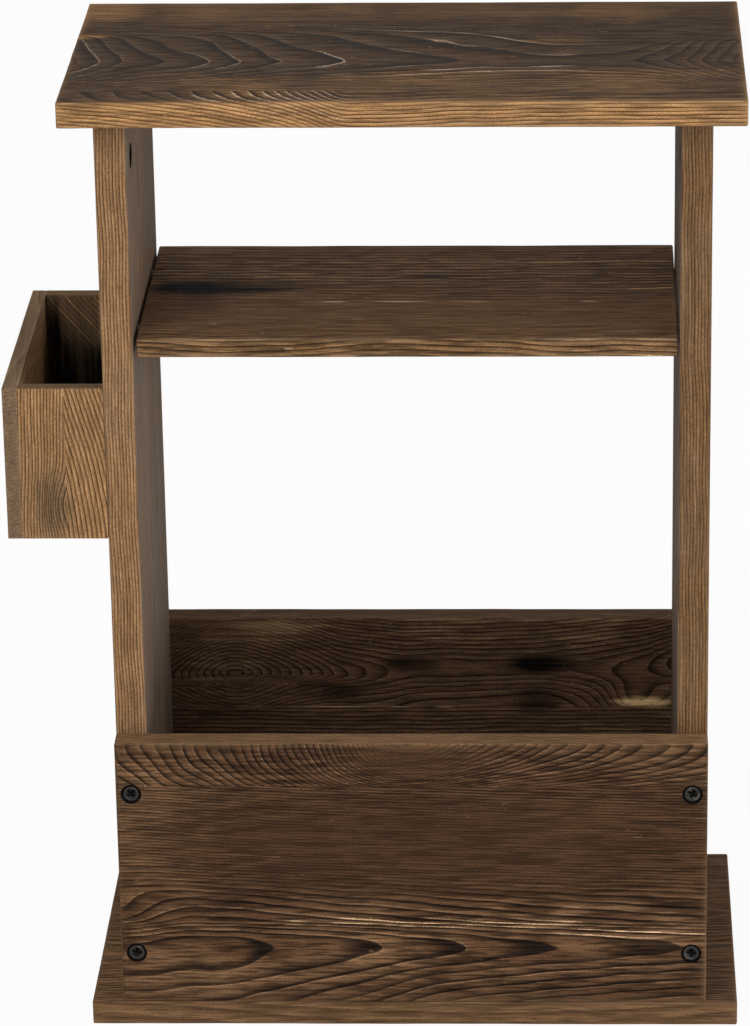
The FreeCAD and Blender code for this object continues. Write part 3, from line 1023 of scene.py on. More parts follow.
RUSSET = replace(GOLDEN, name="russet_post", early=Tint(119, 90, 61), dark=Tint(60, 39, 22),
                 worn=Tint(140, 108, 76))
TAN = WoodFinish("tan_board", early=Tint(158, 120, 81), dark=Tint(50, 31, 14), smoke=Tint(102, 82, 61),
                 soot=Tint(64, 48, 35), chalk=Tint(150, 122, 94), worn=Tint(150, 120, 88),
                 face=0.06, edge=0.9, end=1.0, back=0.1, edge_figure=0.3, rub=0.35, fuzz=0.45)
# The screws' rubbed tone is also the colour of their painted highlights.
BLACKENED = MetalFinish("blackened_screw", Tint(30, 28, 27), Tint(98, 94, 89), 0.8, 0.3)
# The cams are dark bronze, dulled and darkened further as painted shade, since they sit flush where a sunk
# cam would be in shade.
CAM_BRONZE_AND_SHADE = MetalFinish("dark_cam_and_shade", Tint(26, 19, 13), Tint(46, 36, 27), 0.0, 0.0)
BRIGHT = MetalFinish("bright_steel", Tint(150, 150, 150), Tint(196, 196, 194), 1.0)
BEECH = PegFinish("dowel_wood", Tint(205, 172, 130), Tint(172, 134, 92))


@dataclass(frozen=True)
class Rail:
    """The grid lines of a board along one axis: on its flat faces and round its two edges.

    An edge line has the end of the board as its place, the end's side, and the tangent of its turn.
    """

    place: Array
    side: Array
    turn: Array

    @classmethod
    def lay(cls, half: float, rounding: float, spacing: float, breaks: list[float]) -> "Rail":
        """Lays lines evenly between the breaks and round both edges.

        Args:
            half: half the board's size along the axis.
            rounding: the largest radius of its edges.
            spacing: the widest step between lines.
            breaks: places that get a line of their own.

        Returns:
            The lines in rising order.
        """
        reach = half - rounding
        marks = np.unique(np.round([-reach, *breaks, reach], 6))
        steps = np.maximum(np.ceil(np.diff(marks) / spacing), 1).astype(int)
        runs = [np.linspace(low, high, step, endpoint=False)
                for low, high, step in zip(marks[:-1], marks[1:], steps)]
        flat = np.concatenate([*runs, [reach]])
        ends = np.full(len(ARC), half)
        ones = np.ones(len(ARC))
        return cls(np.concatenate([-ends, flat, ends]),
                   np.concatenate([-ones, np.zeros(len(flat)), ones]),
                   np.concatenate([-np.tan(ARC[::-1]), np.zeros(len(flat)), np.tan(ARC)]))


@dataclass
class Board:
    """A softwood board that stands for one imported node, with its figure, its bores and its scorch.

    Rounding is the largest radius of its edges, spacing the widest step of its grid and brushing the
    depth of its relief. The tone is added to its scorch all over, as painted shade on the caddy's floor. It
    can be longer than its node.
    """

    node: str
    slot: str
    lay: Lay
    finish: WoodFinish
    strips: tuple[Strip, ...]
    rounding: float = 1.5
    spacing: float = 2.5
    brushing: float = 0.3
    bores: tuple[Bore, ...] = ()
    stains_light_and_shade: tuple[StainLightAndShade, ...] = ()
    gleams: tuple[Gleam, ...] = ()
    tone: float = 0.0
    longer: float = 0.0
    middle: Array = field(init=False)
    half: Array = field(init=False)

    def __post_init__(self) -> None:
        """Takes the board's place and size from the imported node."""
        low, high = corners(self.node)
        high[self.lay.value[0]] += self.longer
        self.middle = (low + high) / 2
        self.half = (high - low) / 2

    def rails(self) -> list[Rail]:
        """Lays the grid lines along all three axes, with breaks at bores and at glue lines.

        Returns:
            The lines along X, Y and Z.
        """
        breaks: list[list[float]] = [[], [], []]
        for bore in self.bores:
            for axis in {0, 1, 2} - {bore.axis}:
                place = bore.centre[axis] - self.middle[axis]
                breaks[axis] += [place - bore.block, place + bore.block]
        for strip in self.strips[:-1]:
            breaks[self.lay.value[1]] += [strip.upto + step for step in BESIDE_GLUE]
        return [Rail.lay(half, self.rounding, self.spacing, lines)
                for half, lines in zip(self.half, breaks)]

    def edge_radius(self, points: Array) -> Array:
        """Returns the radius of the worn edges: a share of the largest that waves along the board."""
        way = points @ np.array([1.0, 1.3, 0.7])
        return self.rounding * (0.78 + 0.13 * np.sin(way / 23) + 0.07 * np.sin(way / 7.3 + 1))

    def face(self, axis: int, side: int, rails: list[Rail]) -> list[Patch]:
        """Makes one face of the board with its half of the rounded edges round it.

        A point starts on a box that is smaller all round by the edge's radius, and is pushed out by
        that radius along a direction that turns from the face's own to halfway at the edge.

        Args:
            axis: the axis that the face looks along.
            side: 1 or -1, the way that it looks.
            rails: the board's grid lines.

        Returns:
            The face, and a patch for each bore in it.
        """
        first, second = (axis + 1) % 3, (axis + 2) % 3
        lines = (rails[first], rails[second])
        shape = (len(lines[0].place), len(lines[1].place))
        turn = np.stack(np.broadcast_arrays(lines[0].turn[:, None], lines[1].turn[None, :], 1.0), axis=-1)
        turn = turn / np.linalg.norm(turn, axis=-1, keepdims=True)
        place = np.stack(np.broadcast_arrays(lines[0].place[:, None], lines[1].place[None, :],
                                             self.half[axis]), axis=-1)
        edge = np.stack(np.broadcast_arrays(lines[0].side[:, None], lines[1].side[None, :], 1.0), axis=-1)
        order = np.argsort([first, second, axis])
        sign = np.array([1.0, 1.0, side])
        inner = ((place - edge * self.rounding) * sign)[..., order]
        radius = self.edge_radius(inner.reshape(-1, 3)).reshape(*shape, 1)
        points = ((place - edge * radius + turn * radius) * sign)[..., order].reshape(-1, 3)
        normals = (turn * sign)[..., order].reshape(-1, 3)
        quads = grid_quads(*shape)
        keep = np.ones(quads.shape[:2], dtype=bool)
        patches = []
        for bore in self.bores:
            if (bore.axis, bore.side) == (axis, side):
                spans = [self.block(bore, line, rails) for line in (first, second)]
                keep[spans[0], spans[1]] = False
                patches.append(self.bore_patch(bore, spans, rails))
        quads = quads[keep][:, ::side]
        return [Patch(points, normals, np.zeros(len(points)), quads)] + patches

    def block(self, bore: Bore, axis: int, rails: list[Rail]) -> slice:
        """Finds the grid cells along one axis that a bore's square takes up.

        Args:
            bore: the bore.
            axis: the axis.
            rails: the board's grid lines.

        Returns:
            The run of cells.
        """
        place = bore.centre[axis] - self.middle[axis]
        flat = np.where(rails[axis].side == 0, rails[axis].place, np.inf)
        first = int(np.argmin(np.abs(flat - (place - bore.block))))
        last = int(np.argmin(np.abs(flat - (place + bore.block))))
        return slice(first, last)

    def bore_patch(self, bore: Bore, spans: list[slice], rails: list[Rail]) -> Patch:
        """Fills a bore's square: rings that go from the square to the mouth, then down the profile.

        The first rings are square times one less the share plus circle times the share. The rest are
        circles of the profile's radii at its depths.

        Args:
            bore: the bore.
            spans: the cells that its square takes up along the face's two axes.
            rails: the board's grid lines.

        Returns:
            The patch, closed at the bore's bottom.
        """
        first, second = (bore.axis + 1) % 3, (bore.axis + 2) % 3
        centre = np.array(bore.centre) - self.middle
        u = rails[first].place[spans[0].start:spans[0].stop + 1] - centre[first]
        v = rails[second].place[spans[1].start:spans[1].stop + 1] - centre[second]
        square = np.concatenate([
            np.stack([u[:-1], np.full(len(u) - 1, v[0])], axis=1),
            np.stack([np.full(len(v) - 1, u[-1]), v[:-1]], axis=1),
            np.stack([u[:0:-1], np.full(len(u) - 1, v[-1])], axis=1),
            np.stack([np.full(len(v) - 1, u[0]), v[:0:-1]], axis=1),
        ])
        circle = square / np.linalg.norm(square, axis=1, keepdims=True)
        shares = np.array([0.0, 0.35, 0.7, 1.0])[:, None, None]
        flat = (1 - shares) * square + shares * circle * bore.profile[0][0]
        radii = np.array([radius for radius, _ in bore.profile[1:]])
        sunk = radii[:, None, None] * circle
        depths = np.concatenate([np.zeros(len(flat)), [depth for _, depth in bore.profile[1:]]])
        rings = np.concatenate([flat, sunk])
        points = np.empty((*rings.shape[:2], 3))
        points[..., first] = rings[..., 0] + centre[first]
        points[..., second] = rings[..., 1] + centre[second]
        points[..., bore.axis] = bore.side * (self.half[bore.axis] - depths[:, None])
        normals = np.zeros_like(points)
        normals[..., bore.axis] = bore.side
        inside = np.repeat((depths > 0).astype(float), len(square))
        quads = grid_quads(len(rings), len(square), closed=True).reshape(-1, 4)[:, ::-bore.side]
        floor = np.arange(len(square)) + (len(rings) - 1) * len(square)
        return Patch(points.reshape(-1, 3), normals.reshape(-1, 3), inside, quads, [floor[::bore.side]])

    def brush(self, patch: Patch, values: dict[str, Array]) -> None:
        """Brushes out the soft early wood, so that ring ends stand proud, and sinks the glue lines.

        The surface sinks by brushing * wide * figure * (1 - cos(2 pi (rings - proud))) / 2, where wide
        goes from 1, where a ring takes four steps of the grid, to 0, where it takes two.

        Args:
            patch: the board's points, which move.
            values: the board's values at each point.
        """
        wide = np.clip(2 - 4 * self.spacing * values["pace"], 0, 1)
        swing = (1 - np.cos(2 * np.pi * (values["rings"] - PROUD))) / 2
        sink = self.brushing * wide * np.minimum(values["figure"], MOST_FIGURE) * swing
        across = patch.points[:, self.lay.value[1]]
        for strip in self.strips[:-1]:
            sink[np.abs(across - strip.upto) < GLUE_REACH] = GLUE_DEPTH
        patch.points -= (sink * (1 - patch.inside))[:, None] * patch.normals

    def rings(self, points: Array) -> Array:
        """Counts the growth rings at points, each in the strip that it lies in.

        Args:
            points: places from the board's middle, one in each row.

        Returns:
            The count at each point.
        """
        along, across, through = self.lay.spread(points)
        under = self.half[self.lay.value[2]] - through
        strip = np.searchsorted([strip.upto for strip in self.strips[:-1]], across)
        counts = np.stack([strip.growth.count(along, across, under) for strip in self.strips])
        return np.take_along_axis(counts, strip[None, :], axis=0)[0]

    def scorch(self, patch: Patch) -> Array:
        """Works out how scorched each point is, by the side that it is on and the patches near it; the scorch
        also carries painted shade and painted light.

        Args:
            patch: the board's points.

        Returns:
            The scorch: 0 is bare wood, 1 is torched, and more than 1 is charred black; inside bores it is
                raised to paint them black as shade in a hole.
        """
        along, across, through = self.lay.spread(patch.points)
        way = [patch.normals[:, axis] ** 2 for axis in self.lay.value[:3]]
        broad = np.where(through > 0, self.finish.face, self.finish.back)
        scorch = way[0] * self.finish.end + way[1] * self.finish.edge + way[2] * broad
        for stain_light_and_shade in self.stains_light_and_shade:
            scorch += (way[1] + way[2]) * stain_light_and_shade.scorch * stain_light_and_shade.cover(along, across, through)
        # Inside bores the scorch is raised, to paint them black as the shade in a hole.
        return np.maximum(scorch + self.tone, patch.inside * HOLE_SHADE)

    def figure(self, patch: Patch) -> Array:
        """Works out how clearly the rings show: fully on faces, fainter on edges and sawn ends.

        Args:
            patch: the board's points.

        Returns:
            The strength of the rings' tones at each point.
        """
        shares = (self.finish.end_figure, self.finish.edge_figure, self.finish.face_figure)
        figure = sum(share * patch.normals[:, axis] ** 2 for share, axis in zip(shares, self.lay.value[:3]))
        for stain_light_and_shade in self.stains_light_and_shade:
            figure += figure * stain_light_and_shade.figure * stain_light_and_shade.cover(*self.lay.spread(patch.points))
        return figure

    def pace(self, patch: Patch) -> Array:
        """Works out the rings to a millimetre over the surface, as the slope of their count.

        Args:
            patch: the board's points.

        Returns:
            The length of the slope less its part along the normal, from short steps along the axes.
        """
        start = self.rings(patch.points)
        steps = SLOPE_STEP * np.eye(3)
        slopes = np.stack([(self.rings(patch.points + step) - start) / SLOPE_STEP for step in steps], axis=1)
        return np.sqrt(np.sum(slopes**2 * (1 - patch.normals**2), axis=1))

    def shine(self, patch: Patch) -> Array:
        """Works out how bright the pale lines are: as the finish says, and more at gleams and some stains.

        Args:
            patch: the board's points.

        Returns:
            The brightness at each point.
        """
        spread = self.lay.spread(patch.points)
        shine = np.full(len(patch.points), self.finish.shine)
        for stain_light_and_shade in self.stains_light_and_shade:
            shine += stain_light_and_shade.shine * stain_light_and_shade.cover(*spread)
        for gleam in self.gleams:
            shine += gleam.glow(spread[0], self.rings(patch.points))
        return shine

    def wear(self, patch: Patch) -> Array:
        """Works out how rubbed each point is: most at the board's edges and on rubbed glue lines.

        Args:
            patch: the board's points.

        Returns:
            The wear, which fades within a few millimetres of an edge.
        """
        room = np.sort(self.half - np.abs(patch.points), axis=1)[:, 1]
        wear = self.finish.rub * np.exp(-np.maximum(room, 0) / WEAR_REACH)
        along, across, _ = self.lay.spread(patch.points)
        for strip in self.strips:
            wear = np.maximum(wear, strip.dashes(along, across))
        return wear * (1 - patch.inside)

    def build(self, groups: Groups) -> bpy.types.Object:
        """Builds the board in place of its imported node.

        Args:
            groups: the shared shader groups.

        Returns:
            The board.
        """
        rails = self.rails()
        sides = [(axis, side) for axis in range(3) for side in (1, -1)]
        patch = weld([part for axis, side in sides for part in self.face(axis, side, rails)])
        values = {"rings": self.rings(patch.points), "pace": self.pace(patch), "figure": self.figure(patch),
                  "shine": self.shine(patch), "scorch": self.scorch(patch), "wear": self.wear(patch)}
        self.brush(patch, values)
        patch.points = patch.points + self.middle
        material = self.finish.material(self.lay, groups)
        piece = make_object(f"{self.node}_board", patch, values, material)
        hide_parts(self.node)
        log.info("%s: %d faces", piece.name, len(piece.data.polygons))
        return piece


@dataclass(frozen=True)
class Screws:
    """Four countersunk screws with a driver's cross and a running thread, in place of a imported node.

    The head's face is a grid round a small eye, a step away from its blunt rim. The cross's blades are
    soft at their sides and ends, and rise towards their ends by a share of the depth. The bore's mouth
    is wider than the head by the margin, and has a slight flare.
    """

    node: str
    axis: int
    inward: int
    twist: tuple[float, float, float, float]
    head: float = 10.0
    rim: float = 0.4
    shank: float = 4.6
    thread: float = 0.55
    pitch: float = 2.2
    tip: float = 6.0
    length: float = 45.0
    cross_span: float = 6.0
    cross_blade: float = 1.8
    cross_depth: float = 2.4
    cross_soft: tuple[float, float] = (0.3, 0.4)
    cross_rise: float = 0.6
    columns: int = 48
    face_rows: int = 26
    pitch_rows: int = 8
    eye: float = 0.2
    step: float = 0.3
    blunt: float = 0.12
    margin: float = 1.4
    flare: float = 0.2
    hole_depth: float = 15.0
    block: float = 8.5

    def places(self) -> Array:
        """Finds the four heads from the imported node's box: one near each corner of it.

        Returns:
            The middle of each head's face, one in each row.
        """
        low, high = corners(self.node)
        others = [axis for axis in range(3) if axis != self.axis]
        places = np.zeros((4, 3))
        places[:, self.axis] = low[self.axis] if self.inward > 0 else high[self.axis]
        inset = self.head / 2
        places[:, others[0]] = np.repeat([low[others[0]] + inset, high[others[0]] - inset], 2)
        places[:, others[1]] = np.tile([low[others[1]] + inset, high[others[1]] - inset], 2)
        return places

    def surface(self, twist: float) -> tuple[Array, Array]:
        """Works out one screw about its own axis, with its head's face at zero and its tip at its length.

        The face dips where it is within the cross: the dip is deepest in the middle and shallower
        towards the ends of the blades. The cone runs in at half a right angle. The shank's radius
        follows a triangle wave of depth over pitch plus turn, and its tip narrows to a point.

        Args:
            twist: how far the cross is turned, in radians.

        Returns:
            The points by row and column, and their painted light and shade: painted highlights at the rim and
            the cross's edges, and painted shade in the cross itself.
        """
        turn = np.linspace(0, 2 * np.pi, self.columns, endpoint=False)
        face = np.linspace(self.eye, self.head / 2 - self.step, self.face_rows)
        flat_x, flat_y = face[:, None] * np.cos(turn - twist), face[:, None] * np.sin(turn - twist)
        long, short = np.maximum(np.abs(flat_x), np.abs(flat_y)), np.minimum(np.abs(flat_x), np.abs(flat_y))
        within = np.clip((self.cross_blade / 2 - short) / self.cross_soft[0] + 0.5, 0, 1)
        within *= np.clip((self.cross_span / 2 - long) / self.cross_soft[1] + 0.5, 0, 1)
        dip = self.cross_depth * within * (1 - self.cross_rise * long / self.cross_span * 2)
        neck = self.rim + (self.head - self.shank) / 2
        side_depth = np.array([0.0, self.blunt, self.rim, neck])
        side_radius = np.array([self.head / 2 - self.blunt, self.head / 2, self.head / 2, self.shank / 2])
        shank = np.arange(neck + self.step, self.length, self.pitch / self.pitch_rows)
        ridge = np.abs(((shank[:, None] / self.pitch + turn / (2 * np.pi)) % 1) * 2 - 1)
        taper = np.clip((self.length - shank) / self.tip, 0.04, 1)[:, None]
        radius = np.concatenate([np.repeat(face[:, None], len(turn), axis=1),
                                 np.repeat(side_radius[:, None], len(turn), axis=1),
                                 (self.shank / 2 - self.thread * ridge) * taper])
        depth = np.concatenate([dip, np.repeat(side_depth[:, None], len(turn), axis=1),
                                np.repeat(shank[:, None], len(turn), axis=1)])
        points = np.stack([radius * np.cos(turn), radius * np.sin(turn), depth], axis=-1)
        # Painted highlights at the cross's edges and near the rim; painted shade in the cross and on the cone
        # and the thread.
        edges = 0.7 * np.exp(-((within - 0.25) / 0.2) ** 2) * (within > 0.05)
        rim = 0.3 * np.exp(-(((face - self.head / 2 + 0.9) / 0.7) ** 2))[:, None]
        rub = np.zeros(radius.shape)
        rub[:len(face)] = edges - 1.2 * (within > 0.6)
        rub[:len(face)] += rim
        rub[len(face) + 1:] = -0.7
        return points, rub

    def build(self, material: Material) -> bpy.types.Object:
        """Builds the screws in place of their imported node.

        Args:
            material: their finish.

        Returns:
            The screws, as one object.
        """
        inward = np.zeros(3)
        inward[self.axis] = self.inward
        right = np.array([1.0, 0.0, 0.0])
        turned = np.stack([right, np.cross(inward, right), inward])
        patches = []
        for place, twist in zip(self.places(), self.twist):
            points, rub = self.surface(twist)
            rows, columns = rub.shape
            quads = grid_quads(rows, columns, closed=True).reshape(-1, 4)[:, ::-1]
            ends = [np.arange(columns)[::-1], np.arange(columns) + (rows - 1) * columns]
            flat = points.reshape(-1, 3) @ turned + place
            patches.append(Patch(flat, np.zeros_like(flat), rub.ravel(), quads, ends))
        screws = weld(patches)
        # The screws' painted highlights and painted shade go on as an attribute.
        piece = make_object(f"{self.node}_threaded", screws, {"rub": screws.inside}, material)
        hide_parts(self.node)
        log.info("%s: %d faces", piece.name, len(piece.data.polygons))
        return piece

    def bores(self, side: int) -> tuple[Bore, ...]:
        """Makes the sunk holes that these screws sit in.

        Args:
            side: 1 or -1, the way that the drilled face looks.

        Returns:
            A bore for each screw: a cone at half a right angle, then a straight hole.
        """
        mouth, hole = self.head / 2 + self.margin, self.shank / 2 + CLEARANCE
        profile = ((mouth + self.flare, 0.0), (mouth, self.blunt), (hole, mouth - hole),
                   (hole, self.hole_depth))
        return tuple(Bore(self.axis, side, tuple(place), profile, self.block) for place in self.places())


@dataclass
class Table:
    """The boards that stand and lie: tabletop, base, two uprights and the shelf between them."""

    groups: Groups
    base_screws: Screws = Screws("base_screws", 2, 1, (0.3, 1.0, 0.6, 0.1))

    def build(self) -> None:
        """Builds every board of the table."""
        for board in (self.tabletop(), self.base(), self.left_upright(), self.right_upright(), self.shelf()):
            board.build(self.groups)

    def tabletop(self) -> Board:
        """Lays out the tabletop: nested arches from the left, a saddle, and arches from the right.

        Returns:
            The tabletop, ready to build.
        """
        front = BowlGrowth(rim=-86, middle=-30, climb=(3.8, 0.6), bend=(20, 30), sink=(0.10, 0.00009),
                           flare=(60, 400), through=0.42, ripple=0.06)
        course = Curve(((-212, 0), (-198, 1), (-186, 2), (-173, 3), (-149, 4), (-119, 5), (-101, 6), (-76, 7),
                        (-32, 8), (35, 9), (88, 9.55), (140, 9), (158, 8), (170, 7), (179, 6), (187, 5),
                        (197, 4), (212, 2.5)), 9)
        flank = Curve(((-200, 172), (-60, 32), (-46, 20), (-33, 12), (-18, 5), (-10, 2), (0, 0), (8, 1.0),
                       (26, 3.6), (42, 5.2), (53, 7.4), (60, 13), (75, 28), (200, 153)), 3)
        opening = Curve(((-205, 1.0), (-60, 0.82), (35, 0.86), (62, 1.0), (100, 1.42), (130, 1.42),
                         (185, 1.2)), 16)
        arches = PithGrowth(pith=-23, ring=5.0, fine=2.4, course=course, tighten=60, power=1.0, flank=flank,
                            opening=(EVEN, opening), ripple=0.08)
        back = PithGrowth(pith=-130, ring=2.6, course=Curve(((-205, 7), (0, 9), (205, 7)), 60))
        stains_light_and_shade = (StainLightAndShade(-195, 88, 26, 36, -0.5), StainLightAndShade(95, 20, 30, 5, -0.4), StainLightAndShade(-200, 34, 16, 5, -0.8),
                  StainLightAndShade(40, -80, 260, 40, -0.38), StainLightAndShade(0, -109, 400, 7, -0.3),
                  StainLightAndShade(20, 96, 400, 34, -0.33, -0.5), StainLightAndShade(-60, 0, 130, 50, 0.0, 0.2),
                  StainLightAndShade(-35, 10, 30, 30, -0.12), StainLightAndShade(-75, -98, 56, 12, 0.0, 0.3, 1.0))
        gleams = (Gleam(1, -206, -180, 0.4), Gleam(2, -206, -180, 0.35), Gleam(5, -138, -108, 0.45),
                  Gleam(6, -110, -90, 0.3), Gleam(7, -84, -62, 0.3), Gleam(8, -56, -28, 0.9),
                  Gleam(9, -14, 10, 0.6), Gleam(10, 12, 46, 0.8), Gleam(10, 74, 104, 0.6),
                  Gleam(11, -56, 130, 1.0), Gleam(12, -190, -60, 0.45))
        return Board("tabletop", "dark_board", Lay.FLAT, SMOKED,
                     (Strip(front, -85), Strip(arches, 79.5), Strip(back)), spacing=1.8, stains_light_and_shade=stains_light_and_shade,
                     gleams=gleams)

    def base(self) -> Board:
        """Lays out the base: dark straight grain, with a sunk hole below for each screw.

        Returns:
            The base, ready to build.
        """
        course = Curve(((-205, 6.8), (-70, 10.8), (60, 12.0), (150, 10.7), (205, 8.7)), 30)
        grain = PithGrowth(pith=-40, ring=4.0, fine=2.6, course=course)
        back = PithGrowth(pith=180, ring=2.8, course=Curve(((-205, 8), (0, 10), (205, 7)), 60))
        # Its patch lightens the front of the left end as painted light, where less light falls there.
        return Board("base_board", "dark_board", Lay.FLAT, DUSKY, (Strip(grain, 52), Strip(back)),
                     bores=self.base_screws.bores(-1), stains_light_and_shade=(StainLightAndShade(-195, -70, 24, 60, -0.9),))

    def left_upright(self) -> Board:
        """Lays out the left upright: straight golden grain, with bores inside for the cams.

        Returns:
            The left upright, ready to build.
        """
        grain = PithGrowth(pith=-12, ring=1.8, ripple=0.35,
                           course=Curve(((-290, 108.0), (40, 110.6), (290, 108.4)), 90))
        # The first patch lightens the top of the inner face as painted light and the second darkens its lower
        # part as painted shade; the third pales the outer face inside the caddy as painted light, to bounce
        # more light into the box.
        stains_light_and_shade = (StainLightAndShade(240, 0, 110, 80, -0.2), StainLightAndShade(-200, 0, 170, 80, 0.45),
                  StainLightAndShade(73, 0, 36, 66, -0.9, back=True))
        return Board("left_upright", "amber_board", Lay.LEFT_POST, GOLDEN, (Strip(grain),), spacing=4.0,
                     bores=cam_bores("left_cam_locks", 1), stains_light_and_shade=stains_light_and_shade)

    def right_upright(self) -> Board:
        """Lays out the right upright, whose bores for the cams are on its left face.

        Returns:
            The right upright, ready to build.
        """
        grain = PithGrowth(pith=20, ring=1.7, ripple=0.35,
                           course=Curve(((-290, 113.0), (-60, 115.2), (290, 112.6)), 90))
        return Board("right_upright", "amber_board", Lay.RIGHT_POST, RUSSET, (Strip(grain),), spacing=4.0,
                     bores=cam_bores("right_cam_locks", -1))

    def shelf(self) -> Board:
        """Lays out the shelf: dark straight grain with a rubbed streak, flat arcs on its front edge.

        Returns:
            The shelf, ready to build.
        """
        grain = PithGrowth(pith=-150, ring=2.2, ripple=0.3,
                           course=Curve(((-165, 24), (-95, 26), (-60, 24.5), (20, 23), (75, 25),
                                         (165, 26)), 25))
        back = PithGrowth(pith=190, ring=5.6, ripple=0.15,
                          course=Curve(((-165, 9), (-60, 7.6), (60, 7.6), (165, 8.4)), 40))
        stains_light_and_shade = (StainLightAndShade(-112, 8, 58, 15, 0.95), StainLightAndShade(-150, -25, 44, 40, 0.5), StainLightAndShade(30, 28, 48, 3, 0.9),
                  StainLightAndShade(30, 40, 400, 28, 0.0, 0.5, 0.4), StainLightAndShade(150, -70, 30, 30, 0.3),
                  StainLightAndShade(0, -70, 130, 22, -0.25), StainLightAndShade(0, -45, 400, 32, 0.0, -0.5))
        rubbed = Strip(grain, -20.8, ((-47, 6), (-6, 14), (38, 9), (111, 4)), breadth=0.8)
        return Board("middle_shelf", "dark_board", Lay.FLAT, HAZEL, (rubbed, Strip(back)), spacing=2.0,
                     stains_light_and_shade=stains_light_and_shade, gleams=(Gleam(34, 138, 165, 5.0),), longer=0.8)


def cam_bores(node: str, side: int, flare: tuple[float, float] = (0.8, 0.5),
              block: float = 11.0) -> tuple[Bore, ...]:
    """Makes the bores for the two cam locks of one upright.

    Args:
        node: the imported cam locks.
        side: 1 or -1, the way that the drilled face looks along X.
        flare: how much wider its mouth is, and how far in.
        block: half the square of grid cells that it takes up.

    Returns:
        A bore for each lock, a little wider and deeper than the lock.
    """
    low, high = corners(node)
    radius, depth = (high[2] - low[2]) / 2 + CLEARANCE, high[0] - low[0] + CLEARANCE
    profile = ((radius + flare[0], 0.0), (radius, flare[1]), (radius, depth))
    face = high[0] if side > 0 else low[0]
    middle = (low[2] + high[2]) / 2
    return tuple(Bore(0, side, (face, place, middle), profile, block)
                 for place in (low[1] + radius, high[1] - radius))


